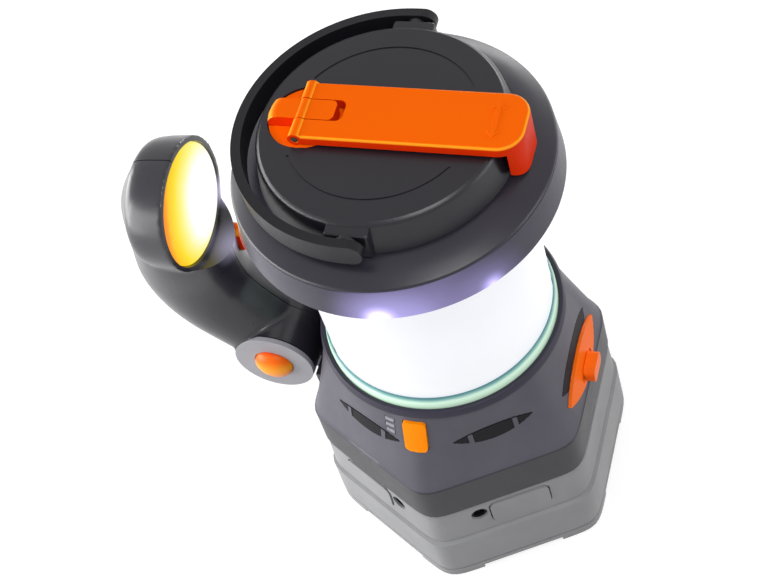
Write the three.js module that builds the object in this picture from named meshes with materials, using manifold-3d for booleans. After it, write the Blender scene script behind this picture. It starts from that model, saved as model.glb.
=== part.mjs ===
// Hand crank camping lantern with a side torch.
// Millimetres, +Z up. The origin is on the ground, on the axis of the lens tube.
// The crank lies along +X, the side torch stands on the -X side.

import * as THREE from 'three';
import { mergeVertices } from 'three/addons/utils/BufferGeometryUtils.js';
import Module from 'manifold-3d';

const wasm = await Module();
wasm.setup();

// Clearances and steps shared by every piece
const gap = 0.3;
const overrun = 2;
const roundSteps = 36;
const mediumSteps = 20;
const smallSteps = 10;
const cornerSteps = 3;
const hexSides = 6;
const halfTurn = Math.PI;
const fullTurn = 2 * Math.PI;
const quarterTurn = Math.PI / 2;
const sixthTurn = fullTurn / hexSides;

// Lower housing, measured from the axis to a flat
const footHeight = 5;
const footFlat = 60.7;
const footWidth = 10;
const footArchHeight = 2.6;
const footArchShare = 0.52;
const bandHeight = 24;
const bandInset = 1.6;
const lowerHeight = 45;
const lowerTopInset = 2.6;
const edgeBevel = 1;
const lowerLip = 2.2;
const coverThick = 2.6;
const centreFootRadius = 9;
const hexSharpness = 22;
const bandTop = footHeight + bandHeight;
const lowerTop = footHeight + lowerHeight;

// Lens tube
const tubeRadius = 46.4;
const tubeWall = 2.2;
const tubeLength = 90.7;

// Upper housing
const upperInset = 2.2;
const ridgeRise = 22;
const ridgeInset = 0.7;
const shoulderRise = 36;
const shoulderWidth = 3.8;
const upperWall = 2.4;
const seatWidth = 4.2;
const upperFlat = footFlat - upperInset;
const ridgeHeight = lowerTop + ridgeRise;
const shoulderTop = ridgeHeight + shoulderRise;
const shoulderRadius = tubeRadius + shoulderWidth;

// Rings at the foot of the tube
const collarWidth = 1;
const collarHeight = 4.5;
const collarLip = 2;
const glowWidth = 1.8;
const glowStep = 0.7;
const glowRise = 7;
const glowLip = 0.2;
const tubeFoot = shoulderTop + gap;
const tubeTop = tubeFoot + tubeLength;
const collarRadius = shoulderRadius + collarWidth;
const collarTop = tubeFoot + collarHeight;
const glowRadius = tubeRadius + glowWidth;
const glowShoulder = collarTop + glowStep;
const glowTop = glowShoulder + glowRise;

// Cap
const rimWidth = 13.8;
const rimHeight = 1.6;
const skirtFlare = 1.5;
const skirtDrop = 3;
const skirtHeight = 13.4;
const capWall = 2.4;
const capFloorThick = 2;
const ledgeWidth = 12.1;
const ledgeHeight = 4.5;
const ledgeLip = 7.1;
const rimRadius = tubeRadius + rimWidth;
const skirtRadius = rimRadius + skirtFlare;
const skirtBottom = tubeTop - skirtDrop;
const skirtTop = skirtBottom + skirtHeight;
const rimTop = skirtTop + rimHeight;
const ledgeRadius = rimRadius - ledgeWidth;
const ledgeTop = rimTop + ledgeHeight;
const ledgeInner = ledgeRadius - ledgeLip;

// Top disc
const discHeight = 13.5;
const discInset = 3.9;
const discChamfer = 1.8;
const discWall = 2.4;
const earHalf = 8;
const earInset = 1.7;
const earBossRadius = 4;
const grooveInset = 9.3;
const grooveWidth = 0.9;
const grooveDepth = 0.6;
const grooveHalfAngle = THREE.MathUtils.degToRad(59);
const grooveSteps = 12;
const discTop = ledgeTop + discHeight;
const discTopRadius = ledgeRadius - discInset;
const grooveRadius = discTopRadius - grooveInset;

// Crank
const crankInset = 16.2;
const hubRadius = 14;
const hubPlate = 2.7;
const hubDrop = 0.7;
const hubBoss = 2.4;
const tongueWidth = 9;
const tongueFront = 12.2;
const tongueCorner = 2.2;
const slotRoom = 3.4;
const armWidth = 25.6;
const armThick = 4.1;
const armOverhang = 5.6;
const armCorner = 9;
const armRim = 1.3;
const armSink = 0.5;
const armLift = 0.3;
const barrelEye = 2.7;
const gripThick = 5.2;
const gripClear = 0.6;
const gripCorner = 6;
const foldPinRadius = 1.2;
const arrowLength = 15.5;
const arrowWidth = 1.4;
const arrowHead = 2.4;
const arrowInset = 11;
const arrowRise = 0.35;
const shaftRadius = 3.5;
const shaftTipRadius = 2;
const crankX = crankInset - discTopRadius;
const armEnd = ledgeRadius + armOverhang;
const arrowX = armEnd - arrowInset;

// Gear train
const drivePitch = 15;
const driveTeeth = 30;
const pinionTeeth = 10;
const wheelTeeth = 32;
const boreSteps = 6;
const pressureAngle = THREE.MathUtils.degToRad(20);
const addendumShare = 0.8;
const dedendumShare = 1.2;
const backlash = 0.42;
const gearThick = 3;
const gearLayerGap = 1;
const axleRadius = 1.5;
const axleBaseRadius = 3;
const rotorShaftRadius = 1;
const gearModule = (2 * drivePitch) / driveTeeth;

// Dynamo
const dynamoRadius = 15;
const dynamoHeight = 9;
const dynamoNeckRadius = 3;
const dynamoNeckHeight = 0.9;
const dynamoWall = 1.2;
const rotorRadius = 11;
const rotorLift = 0.8;
const rotorHeight = 4.8;
const frameThick = 2;
const frameHalf = 10;
const frameReach = 8;
const frameBossRadius = 5;
const frameBossHeight = 9.3;

// Carry handle
const handleReach = 3.1;
const handleThick = 3.7;
const handleHeight = 9.4;
const handleDrop = 0.4;
const handleTail = 7;
const handleSteps = 18;
const handlePinRadius = 1.8;
const handleSkin = 1;
const handleInner = ledgeRadius + handleReach;
const handleOuter = handleInner + handleThick;
const handleTop = discTop - handleDrop;

// Light source
const ledCount = 8;
const ledRadius = 1.6;
const ledInset = 8.2;
const ledDrop = 1.4;
const boardThick = 1.6;
const reflectorRoom = 0.4;
const reflectorFoot = 1.6;
const reflectorHeight = 43.7;
const reflectorWall = 1.2;
const reflectorShares = [[1, 0], [0.42, 0.33], [0.15, 0.7], [0, 1]];
const columnRadius = 5;
const columnWall = 1.4;
const columnSet = 4;
const ledRingRadius = tubeRadius - tubeWall - ledInset;
const reflectorRadius = tubeRadius - tubeWall - reflectorRoom;
const reflectorTop = tubeFoot + reflectorHeight;
const reflectorNeck = columnRadius + gap + reflectorWall;

// Inside the base
const cellCount = 3;
const cellRadius = 11.3;
const cellSpace = 2.3;
const cellNubRadius = 3;
const cellNubHeight = 1.2;
const trayRadius = 42;
const trayFloor = 1.8;
const trayWall = 2;
const trayHeight = 14;
const screwCount = 3;
const screwInset = 7;
const screwHeadRadius = 3;
const screwHeadHeight = 1.8;
const screwRadius = 1.4;
const screwLength = 10;
const screwBossRadius = 4;
const deckThick = 2;
const deckPostCount = 4;
const deckPostRadius = 2.6;
const deckPostHeight = 2.4;
const mainBoardRadius = 38;
const cellRingRadius = (cellRadius + cellSpace / 2) / Math.sin(halfTurn / cellCount);
const screwRingRadius = trayRadius - screwInset;

// Orange power button on the front corner
const buttonWidth = 9.6;
const buttonDrop = 2;
const buttonHeight = 13.5;
const buttonDepth = 8;
const buttonCorner = 1.6;
const buttonProud = 1;
const buttonHigh = shoulderTop - buttonDrop;
const buttonLow = buttonHigh - buttonHeight;

// Rubber port covers, one on each front face
const coverLength = 34;
const coverWidth = 7;
const coverSkin = 1.6;
const coverDrop = 14;
const coverCentre = 3.5;
const leafSteps = 5;
const coverProud = 0.2;
const portWidth = 9;
const portTall = 4.6;
const portDepth = 7;
const portWall = 0.8;
const coverHeight = shoulderTop - coverDrop;

// Slide switch on the +X face
const leafLength = 46;
const leafWidth = 15;
const leafProud = 1.2;
const leafDepth = 4;
const switchRise = 10;
const slotWidth = 3;
const knobDrop = 3.5;
const knobStem = 6;
const knobLength = 12;
const knobWidth = 8;
const knobRise = 4;
const knobDepth = 9;
const knobTravel = 5;
const switchHeight = ridgeHeight + switchRise;
const knobHeight = switchHeight - knobDrop;
const slotLength = knobStem + 2 * (knobTravel + gap);

// Sockets and raised panels on the two lower front faces
const socketRadius = 3.4;
const socketWall = 1.1;
const socketPinRadius = 0.8;
const socketSet = 0.6;
const socketDepth = 9;
const socketDrop = 7;
const socketShift = -13;
const panelWidth = 26;
const panelHeight = 13;
const panelDrop = 9;
const panelShift = 5;
const panelCorner = 3;
const panelDepth = 2;
const panelProud = 0.6;
const socketHeight = lowerTop - socketDrop;
const panelMiddle = lowerTop - panelDrop;

// Indicator lights beside the power button
const indicatorCount = 3;
const indicatorWidth = 4;
const indicatorTall = 1.6;
const indicatorPitch = 3;
const indicatorRaise = 3.5;
const indicatorTurn = THREE.MathUtils.degToRad(-12);
const indicatorProud = 0.2;
const indicatorLow = coverHeight + indicatorRaise;

// Side torch
const barrelRadius = 17.8;
const barrelHalf = 19.6;
const barrelTuck = 0.8;
const pivotRise = 35;
const torchWall = 2.2;
const headBack = 17;
const headRise = 85;
const headRadius = 27.6;
const headLip = 0.2;
const headDepth = 15;
const headDome = 14.5;
const neckOut = 30.5;
const lensThick = 1.6;
const lensPlugDepth = 6;
const lensSet = 1.4;
const torchEye = 5;
const torchBowlDeep = 12;
const torchBowlWall = 1.2;
const torchBowlShares = [[1, 0], [0.82, 0.4], [0.5, 0.75], [0.24, 0.93], [0, 1]];
const lampRadius = 7;
const lampDomeRadius = 2.4;
const lampRise = 3;
const pivotX = -(upperFlat - barrelTuck + barrelRadius);
const pivotZ = lowerTop + pivotRise;
const headX = pivotX - headBack;
const headZ = pivotZ + headRise;
const neckX = pivotX - neckOut;
const lensClearRadius = headRadius - headLip;
const lensRadius = lensClearRadius - torchWall - gap;

// Depth share and radius share of the head, from its front edge to its back
const headShares = [[0, 1], [0.51, 0.935], [0.67, 0.74], [0.85, 0.46], [0.96, 0.22]];

// Along the neck: shares of its way out, of the head's rise and of the barrel's radius and half length
const neckShares = [
  [0.869, 0.953, 1.124, 1.173],
  [0.934, 0.765, 1.18, 1.122],
  [1, 0.553, 1.236, 1.046],
  [0.869, 0.353, 1.18, 1],
  [0.508, 0.176, 1.039, 0.99],
  [0.115, 0.035, 0.927, 0.99],
];

// What the torch turns on
const lugHalf = 5;
const lugInset = 0.4;
const lugFootThick = 3;
const lugFootHalf = 14;
const lugFootRise = 3;
const lugFootHeight = 17;
const webReach = 3.6;
const webShare = 0.98;
const torchSlotReach = 25.5;
const torchSlotDrop = 25;
const torchSlotTop = 1;
const pivotPinRadius = 3;
const pivotPinTail = 8.6;
const pivotPinInset = 2.6;
const torchSteps = 18;
const lugRadius = barrelRadius - lugInset;
const lugFootLow = lowerTop + lugFootRise;
const lugFootHigh = lugFootLow + lugFootHeight;
const pivotPinLow = pivotPinTail - barrelHalf;
const pivotPinHigh = barrelHalf - pivotPinInset;

// Torch buttons and cell
const endDiscThick = 2.2;
const domeRadius = 8.4;
const domeRise = 4.6;
const domeStemDepth = 4;
const domeSteps = 4;
const sideButtonLength = 14;
const sideButtonWidth = 7;
const sideButtonRise = 1.6;
const sideButtonDepth = 4;
const sideButtonY = 10;
const sideButtonShare = 0.6;
const torchCellRadius = 7.2;
const torchCellFoot = 8.2;
const torchCellClear = 2.4;
const torchCellTuck = 2;
const torchRibThick = 2;
const torchRibInset = 6;
const sideButtonZ = pivotZ + sideButtonShare * headRise;
const torchCellX = neckX + torchCellTuck;
const torchCellLow = pivotZ + barrelRadius + torchCellFoot;
const torchCellHigh = headZ - headRadius - torchCellClear;

// Geometry helpers

// Points closer than this are one corner
const weld = 0.0004;

function signedVolume(position, index) {
  const a = new THREE.Vector3();
  const b = new THREE.Vector3();
  const c = new THREE.Vector3();
  let total = 0;
  for (let i = 0; i < index.length; i += 3) {
    a.fromArray(position, 3 * index[i]);
    b.fromArray(position, 3 * index[i + 1]);
    c.fromArray(position, 3 * index[i + 2]);
    total += a.dot(b.cross(c));
  }
  return total;
}

// A closed geometry as a solid whose faces point out
function solid(geometry) {
  const plain = geometry.clone();
  plain.deleteAttribute('normal');
  plain.deleteAttribute('uv');
  const merged = mergeVertices(plain, weld);
  const position = merged.attributes.position.array;
  const index = [];
  for (let i = 0; i < merged.index.count; i += 3) {
    const corners = [0, 1, 2].map((k) => merged.index.getX(i + k));
    if (new Set(corners).size === corners.length) index.push(...corners);
  }
  if (signedVolume(position, index) < 0) index.reverse();
  const triVerts = new Uint32Array(index);
  const vertProperties = new Float32Array(position);
  return new wasm.Manifold(new wasm.Mesh({ numProp: 3, vertProperties, triVerts }));
}

// Slivers that a cut leaves behind are dropped
function geometryOf(manifold) {
  const bodies = manifold.decompose().filter((body) => body.volume() > gap ** 3);
  const mesh = wasm.Manifold.compose(bodies).getMesh();
  const geometry = new THREE.BufferGeometry();
  geometry.setAttribute('position', new THREE.BufferAttribute(mesh.vertProperties, 3));
  geometry.setIndex(new THREE.BufferAttribute(mesh.triVerts, 1));
  geometry.computeVertexNormals();
  return geometry;
}

function join(first, ...others) {
  return geometryOf(others.reduce((sum, next) => sum.add(solid(next)), solid(first)));
}

function cut(first, ...tools) {
  return geometryOf(tools.reduce((rest, tool) => rest.subtract(solid(tool)), solid(first)));
}

function common(first, ...others) {
  return geometryOf(others.reduce((rest, next) => rest.intersect(solid(next)), solid(first)));
}

// A profile of [radius, height] pairs turned about Z
function lathe(profile, steps = roundSteps) {
  const points = profile.map(([radius, height]) => new THREE.Vector2(radius, height));
  const turned = new THREE.LatheGeometry(points, steps);
  turned.rotateX(quarterTurn);
  return turned;
}

function rod(radius, low, high, steps = smallSteps) {
  return lathe([[0, low], [radius, low], [radius, high], [0, high]], steps);
}

function pipe(inner, outer, low, high, steps = roundSteps) {
  return lathe([[inner, low], [outer, low], [outer, high], [inner, high], [inner, low]], steps);
}

function at(geometry, x, y, z = 0) {
  geometry.translate(x, y, z);
  return geometry;
}

// The rod's length, first along Z, is laid along Y or X
function alongY(geometry) {
  geometry.rotateX(-quarterTurn);
  return geometry;
}

function alongX(geometry) {
  geometry.rotateY(quarterTurn);
  return geometry;
}

function block(xLow, xHigh, yLow, yHigh, zLow, zHigh) {
  const box = new THREE.BoxGeometry(xHigh - xLow, yHigh - yLow, zHigh - zLow);
  return at(box, (xLow + xHigh) / 2, (yLow + yHigh) / 2, (zLow + zHigh) / 2);
}

// An outline in XY raised from low to high
function raise(shape, low, high, steps = cornerSteps) {
  const body = new THREE.ExtrudeGeometry(shape, {
    depth: high - low,
    bevelEnabled: false,
    curveSegments: steps,
  });
  return at(body, 0, 0, low);
}

function roundedRectangle(xLow, xHigh, yLow, yHigh, radius) {
  const shape = new THREE.Shape();
  shape.moveTo(xLow + radius, yLow);
  shape.lineTo(xHigh - radius, yLow);
  shape.absarc(xHigh - radius, yLow + radius, radius, -quarterTurn, 0);
  shape.lineTo(xHigh, yHigh - radius);
  shape.absarc(xHigh - radius, yHigh - radius, radius, 0, quarterTurn);
  shape.lineTo(xLow + radius, yHigh);
  shape.absarc(xLow + radius, yHigh - radius, radius, quarterTurn, halfTurn);
  shape.lineTo(xLow, yLow + radius);
  shape.absarc(xLow + radius, yLow + radius, radius, halfTurn, halfTurn + quarterTurn);
  return shape;
}

// Closed skin over a stack of rings that all have the same number of points
function skin(rings) {
  const count = rings[0].length;
  const positions = rings.flat().flatMap((point) => point.toArray());
  const index = [];
  for (let level = 0; level + 1 < rings.length; level++) {
    for (let i = 0; i < count; i++) {
      const a = level * count + i;
      const b = level * count + ((i + 1) % count);
      index.push(a, b, b + count, a, b + count, a + count);
    }
  }
  const last = (rings.length - 1) * count;
  for (let i = 1; i + 1 < count; i++) {
    index.push(0, i + 1, i);
    index.push(last, last + i, last + i + 1);
  }
  const geometry = new THREE.BufferGeometry();
  geometry.setAttribute('position', new THREE.Float32BufferAttribute(positions, 3));
  geometry.setIndex(index);
  return geometry;
}

// Hexagonal outlines

// Distance from the axis to a hexagon with soft corners, at an angle from +X
function hexReach(angle, flat) {
  let sum = 0;
  for (let side = 0; side < hexSides; side++) {
    const along = Math.cos(angle - side * sixthTurn);
    if (along > 0) sum += along ** hexSharpness;
  }
  return flat / sum ** (1 / hexSharpness);
}

// A ring of points: a hexagon that becomes a circle as share goes to 1
function hexRing(height, flat, radius = 0, share = 0) {
  return Array.from({ length: roundSteps }, (_, i) => {
    const angle = (i / roundSteps) * fullTurn;
    const reach = THREE.MathUtils.lerp(hexReach(angle, flat), radius, share);
    return new THREE.Vector3(reach * Math.cos(angle), reach * Math.sin(angle), height);
  });
}

function hexPlate(flat, low, high) {
  return skin([hexRing(low, flat), hexRing(high, flat)]);
}

function turned(geometry, angle) {
  geometry.rotateZ(angle);
  return geometry;
}

// An outline drawn with X across a face and Y as height, stood up on the +X face
function standing(shape, low, high, steps = cornerSteps) {
  const form = raise(shape, low, high, steps);
  form.rotateX(quarterTurn);
  form.rotateZ(quarterTurn);
  return form;
}

// Turns from +X to the faces and the corner that carry something
const frontRightFace = -sixthTurn;
const frontLeftFace = -2 * sixthTurn;
const frontCorner = -quarterTurn;

// The finished group

const lantern = new THREE.Group();

function piece(name, geometry, color, roughness, metalness = 0, parent = lantern) {
  const material = new THREE.MeshStandardMaterial({ color, roughness, metalness });
  const mesh = new THREE.Mesh(geometryOf(solid(geometry)), material);
  mesh.name = name;
  parent.add(mesh);
  return mesh;
}

const darkPlastic = 0x34333a;
const greyPlastic = 0x5a5860;
const paleGrey = 0x929296;
const orange = 0xff6e00;
const blackRubber = 0x1c1b20;
const steel = 0xb8babd;
const copper = 0xb06a38;
const boardGreen = 0x1f6a3c;
const clearWhite = 0xf4f6fa;
const glowGreen = 0xc4e6c4;
const whitePlastic = 0xe8e8e6;

// Lower housing, its feet, cover and screws

const bandFlat = footFlat - bandInset;
const lowerInner = bandFlat - lowerTopInset - lowerLip;
const lowerLow = footHeight + gap;
const coverHigh = lowerLow + coverThick;
const trayLow = coverHigh + gap;
const trayTop = trayLow + trayFloor;
const deckLow = lowerTop + gap;
const deckHigh = deckLow + deckThick;
const screwTop = lowerLow - gap + screwLength;

function onCircle(count, radius, place, phase = 0) {
  return Array.from({ length: count }, (_, i) => {
    const angle = phase + (i / count) * fullTurn;
    return place(radius * Math.cos(angle), radius * Math.sin(angle), i);
  });
}

function footRing() {
  const body = hexPlate(footFlat, 0, footHeight);
  const hollow = hexPlate(footFlat - footWidth, -overrun, footHeight + overrun);
  const half = footFlat * Math.tan(sixthTurn / 2) * footArchShare;
  const arches = Array.from({ length: hexSides }, (_, i) => {
    const arch = block(footFlat / 2, 2 * footFlat, -half, half, -overrun, footArchHeight);
    return turned(arch, i * sixthTurn);
  });
  return cut(body, hollow, ...arches);
}

// The two lower front faces mirror each other
const fronts = [
  { name: 'right', turn: frontRightFace, side: 1 },
  { name: 'left', turn: frontLeftFace, side: -1 },
];

// A raised panel lies in each front face, its seat is the same form made larger by a margin
function panelForm({ turn, side }, margin) {
  const middle = side * panelShift;
  const half = panelWidth / 2 + margin;
  const tall = panelHeight / 2 + margin;
  const outline = roundedRectangle(middle - half, middle + half, panelMiddle - tall, panelMiddle + tall,
    panelCorner);
  return turned(standing(outline, bandFlat - edgeBevel - panelDepth - margin, footFlat), turn);
}

function lowerSkin(margin = 0) {
  return skin([
    hexRing(lowerLow, footFlat - edgeBevel / 2 + margin),
    hexRing(lowerLow + edgeBevel, footFlat + margin),
    hexRing(bandTop - edgeBevel, footFlat - edgeBevel / 2 + margin),
    hexRing(bandTop, bandFlat + margin),
    hexRing(lowerTop - lowerTopInset, bandFlat - edgeBevel + margin),
    hexRing(lowerTop, bandFlat - lowerTopInset + margin),
  ]);
}

function socketForm({ turn, side }, radius, low, high) {
  return turned(at(alongX(rod(radius, low, high)), 0, side * socketShift, socketHeight), turn);
}

function lowerHousing() {
  const hollow = hexPlate(lowerInner, -overrun, lowerTop + overrun);
  const holes = fronts.map((front) => (
    socketForm(front, socketRadius + gap, lowerInner - overrun, footFlat + overrun)
  ));
  const seats = fronts.map((front) => panelForm(front, gap));
  return cut(lowerSkin(), hollow, ...holes, ...seats);
}

function frontPanel(front) {
  return common(panelForm(front, 0), lowerSkin(panelProud));
}

function powerSocket(front) {
  const high = bandFlat - edgeBevel - socketSet;
  const low = high - socketDepth;
  const body = socketForm(front, socketRadius, low, high);
  const bore = socketForm(front, socketRadius - socketWall, low + socketWall, high + overrun);
  const pin = socketForm(front, socketPinRadius, low, high - socketWall);
  return join(cut(body, bore), pin);
}

function bottomCover() {
  const plate = join(hexPlate(lowerInner - gap, lowerLow, coverHigh), rod(centreFootRadius, 0, coverHigh));
  const holes = onCircle(screwCount, screwRingRadius, (x, y) => (
    at(rod(screwRadius + gap, lowerLow - overrun, coverHigh + overrun), x, y)
  ));
  return cut(plate, ...holes);
}

function coverScrew() {
  const headHigh = lowerLow - gap;
  const headLow = headHigh - screwHeadHeight;
  const profile = [
    [0, headLow],
    [screwHeadRadius, headLow],
    [screwHeadRadius, headHigh],
    [screwRadius, headHigh],
    [screwRadius, screwTop],
    [0, screwTop],
  ];
  const slot = screwHeadHeight / 2;
  const cross = [
    block(-screwHeadRadius, screwHeadRadius, -slot / 2, slot / 2, headLow - overrun, headLow + slot),
    block(-slot / 2, slot / 2, -screwHeadRadius, screwHeadRadius, headLow - overrun, headLow + slot),
  ];
  return cut(lathe(profile, smallSteps), ...cross);
}

function batteryTray() {
  const cup = lathe([
    [0, trayLow],
    [trayRadius, trayLow],
    [trayRadius, trayLow + trayHeight],
    [trayRadius - trayWall, trayLow + trayHeight],
    [trayRadius - trayWall, trayTop],
    [0, trayTop],
  ]);
  const bosses = onCircle(screwCount, screwRingRadius, (x, y) => (
    at(rod(screwBossRadius, trayLow, screwTop + screwRadius), x, y)
  ));
  const holes = onCircle(screwCount, screwRingRadius, (x, y) => (
    at(rod(screwRadius + gap, trayLow - overrun, screwTop + gap), x, y)
  ));
  return cut(join(cup, ...bosses), ...holes);
}

function batteryCell() {
  const low = trayTop + gap;
  const high = deckLow - gap;
  const shoulder = high - cellNubHeight;
  return lathe([
    [0, low],
    [cellRadius, low],
    [cellRadius, shoulder],
    [cellNubRadius, shoulder],
    [cellNubRadius, high],
    [0, high],
  ], mediumSteps);
}

function baseDeck() {
  const plate = hexPlate(upperFlat - upperWall - gap, deckLow, deckHigh);
  const posts = onCircle(deckPostCount, mainBoardRadius - 2 * deckPostRadius, (x, y) => (
    at(rod(deckPostRadius, deckLow, deckHigh + deckPostHeight), x, y)
  ));
  return join(plate, ...posts);
}

function mainBoard() {
  const low = deckHigh + deckPostHeight + gap;
  return rod(mainBoardRadius, low, low + boardThick, mediumSteps);
}

piece('foot_ring', footRing(), paleGrey, 0.75);
piece('lower_housing', lowerHousing(), paleGrey, 0.5);
for (const front of fronts) {
  piece(`front_panel_${front.name}`, frontPanel(front), paleGrey, 0.5);
  piece(`power_socket_${front.name}`, powerSocket(front), blackRubber, 0.5);
}
piece('bottom_cover', bottomCover(), darkPlastic, 0.6);
onCircle(screwCount, screwRingRadius, (x, y, i) => {
  piece(`cover_screw_${i + 1}`, coverScrew(), steel, 0.3, 1).position.set(x, y, 0);
});
piece('battery_tray', batteryTray(), darkPlastic, 0.6);
onCircle(cellCount, cellRingRadius, (x, y, i) => {
  piece(`battery_cell_${i + 1}`, batteryCell(), steel, 0.35, 0.8).position.set(x, y, 0);
}, halfTurn / cellCount);
piece('base_deck', baseDeck(), darkPlastic, 0.6);
piece('main_board', mainBoard(), boardGreen, 0.5);

// Upper housing and what is set into it

const ridgeFlat = upperFlat - ridgeInset;

// The outside of the upper housing, moved in or out by a margin
function upperSkin(margin = 0) {
  return skin([
    hexRing(lowerTop + gap, upperFlat - edgeBevel + margin),
    hexRing(lowerTop + gap + edgeBevel, upperFlat + margin),
    hexRing(ridgeHeight - edgeBevel, upperFlat - ridgeInset / 2 + margin),
    hexRing(ridgeHeight, ridgeFlat - edgeBevel / 2 + margin),
    hexRing(shoulderTop, ridgeFlat, shoulderRadius + margin, 1),
  ]);
}

// The distance from the axis to a face of the shoulder at a height
function shoulderFlat(height) {
  const share = (height - ridgeHeight) / (shoulderTop - ridgeHeight);
  return THREE.MathUtils.lerp(ridgeFlat, shoulderRadius, share);
}

function upperHollow() {
  return skin([
    hexRing(-overrun, upperFlat - upperWall),
    hexRing(ridgeHeight - upperWall, upperFlat - upperWall),
    hexRing(shoulderTop - upperWall, ridgeFlat, shoulderRadius - upperWall, 1),
  ]);
}

// A leaf outline with pointed ends, along X
function leafShape(length, width, height, centre = 0) {
  const shape = new THREE.Shape();
  shape.moveTo(centre - length / 2, height);
  shape.quadraticCurveTo(centre, height - width, centre + length / 2, height);
  shape.quadraticCurveTo(centre, height + width, centre - length / 2, height);
  return shape;
}

const buttonInner = shoulderRadius - buttonDepth;

function buttonForm(margin, low, high) {
  const half = buttonWidth / 2 + margin;
  const outline = roundedRectangle(-half, half, buttonLow - margin, buttonHigh + margin, buttonCorner);
  return turned(standing(outline, low, high), frontCorner);
}

function powerButton() {
  return common(buttonForm(0, buttonInner, 2 * upperFlat), upperSkin(buttonProud));
}

// Each port cover is a leaf that lies in a leaf-shaped seat of its face
const covers = [
  { name: 'right', turn: frontRightFace, centre: coverCentre },
  { name: 'left', turn: frontLeftFace, centre: coverCentre },
];

// A box behind the face of the shoulder that holds a port
function portBox(margin, low, high, centre) {
  return block(low, high, centre - portWidth / 2 - margin, centre + portWidth / 2 + margin,
    coverHeight - portTall / 2 - margin, coverHeight + portTall / 2 + margin);
}

function portSocket({ turn, centre }) {
  const high = shoulderFlat(coverHeight);
  const low = high - portDepth;
  const bore = portBox(0, low + portWall, high, centre);
  const blade = block(low, high - portDepth / 2, centre - portWidth / 3, centre + portWidth / 3,
    coverHeight - portWall / 2, coverHeight + portWall / 2);
  const body = join(cut(portBox(portWall, low, high, centre), bore), blade);
  return common(turned(body, turn), upperSkin(-coverSkin - gap));
}

function coverForm({ turn, centre }, margin) {
  const outline = leafShape(coverLength + 2 * margin, coverWidth + 2 * margin, coverHeight, centre);
  return turned(standing(outline, 0, 2 * upperFlat, leafSteps), turn);
}

function portCover(cover) {
  const band = cut(upperSkin(coverProud), upperSkin(-coverSkin));
  return common(coverForm(cover, 0), band);
}

function leafForm(margin) {
  const outline = leafShape(leafLength + 2 * margin, leafWidth + 2 * margin, switchHeight);
  return standing(outline, 0, 2 * upperFlat, leafSteps);
}

function slotForm(length, width, low, high) {
  const outline = roundedRectangle(-length / 2, length / 2, -width / 2, width / 2, width / 3);
  return at(standing(outline, low, high), 0, 0, knobHeight);
}

function switchLeaf() {
  const band = cut(upperSkin(leafProud), upperSkin(-leafDepth));
  return cut(common(band, leafForm(0)), slotForm(slotLength, slotWidth, 0, 2 * upperFlat));
}

function switchKnob() {
  const top = shoulderFlat(knobHeight) + leafProud + knobRise;
  const head = cut(slotForm(knobLength, knobWidth, 0, top), upperSkin(leafProud + gap));
  const stem = slotForm(knobStem, slotWidth - 2 * gap, top - knobDepth, top - knobRise / 2);
  return join(head, stem);
}

function indicator(i, margin) {
  const low = indicatorLow + i * indicatorPitch;
  const half = indicatorWidth / 2 + margin;
  const bar = block(0, 2 * upperFlat, -half, half, low - margin, low + indicatorTall + margin);
  return turned(bar, frontCorner + indicatorTurn);
}

function indicatorLight(i) {
  const band = cut(upperSkin(indicatorProud), upperSkin(-upperWall));
  return common(indicator(i, 0), band);
}

function upperHousing() {
  const mouth = rod(tubeRadius - seatWidth, shoulderTop - 2 * upperWall, shoulderTop + overrun, roundSteps);
  const seats = covers.map((cover) => coverForm(cover, gap));
  const lights = Array.from({ length: indicatorCount }, (_, i) => indicator(i, gap));
  const button = buttonForm(gap, 0, 2 * upperFlat);
  return cut(upperSkin(), upperHollow(), mouth, button, leafForm(gap), ...seats, ...lights);
}

function collar() {
  const inner = tubeRadius + gap;
  const seat = collarTop - collarLip;
  return lathe([
    [inner, tubeFoot],
    [shoulderRadius, tubeFoot],
    [collarRadius, tubeFoot + edgeBevel],
    [collarRadius - edgeBevel, collarTop],
    [glowRadius + gap, collarTop],
    [glowRadius + gap, seat],
    [inner, seat],
    [inner, tubeFoot],
  ]);
}

function glowRing() {
  const inner = tubeRadius + gap;
  const low = collarTop - collarLip + gap;
  return lathe([
    [inner, low],
    [glowRadius, low],
    [glowRadius, glowShoulder],
    [inner + glowLip, glowTop],
    [inner, glowTop],
    [inner, low],
  ]);
}

piece('upper_housing', upperHousing(), greyPlastic, 0.5);
piece('power_button', powerButton(), orange, 0.45);
for (const cover of covers) {
  piece(`port_cover_${cover.name}`, portCover(cover), blackRubber, 0.7);
  piece(`port_socket_${cover.name}`, portSocket(cover), steel, 0.35, 0.9);
}
piece('switch_leaf', switchLeaf(), orange, 0.45);
piece('switch_knob', switchKnob(), orange, 0.45);
for (let i = 0; i < indicatorCount; i++) {
  piece(`indicator_light_${i + 1}`, indicatorLight(i), clearWhite, 0.3);
}
piece('collar', collar(), darkPlastic, 0.5);
piece('glow_ring', glowRing(), glowGreen, 0.4);

// Lens tube, reflector, wire column and light board

const capFloorLow = tubeTop + gap;
const capFloorHigh = capFloorLow + capFloorThick;
const ledBoardHigh = capFloorLow - gap;
const ledBoardLow = ledBoardHigh - boardThick;

function reflector() {
  const low = tubeFoot;
  const foot = low + reflectorFoot;
  const rise = reflectorTop - foot;
  const outer = reflectorShares.map(([radiusShare, heightShare]) => [
    THREE.MathUtils.lerp(reflectorNeck, reflectorRadius, radiusShare),
    foot + rise * heightShare,
  ]);
  const inner = outer.map(([radius, height]) => [radius - reflectorWall, height]).reverse();
  return lathe([
    [reflectorRadius - reflectorWall, low],
    [reflectorRadius, low],
    ...outer,
    ...inner,
    [reflectorRadius - reflectorWall, low],
  ], mediumSteps);
}

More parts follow.
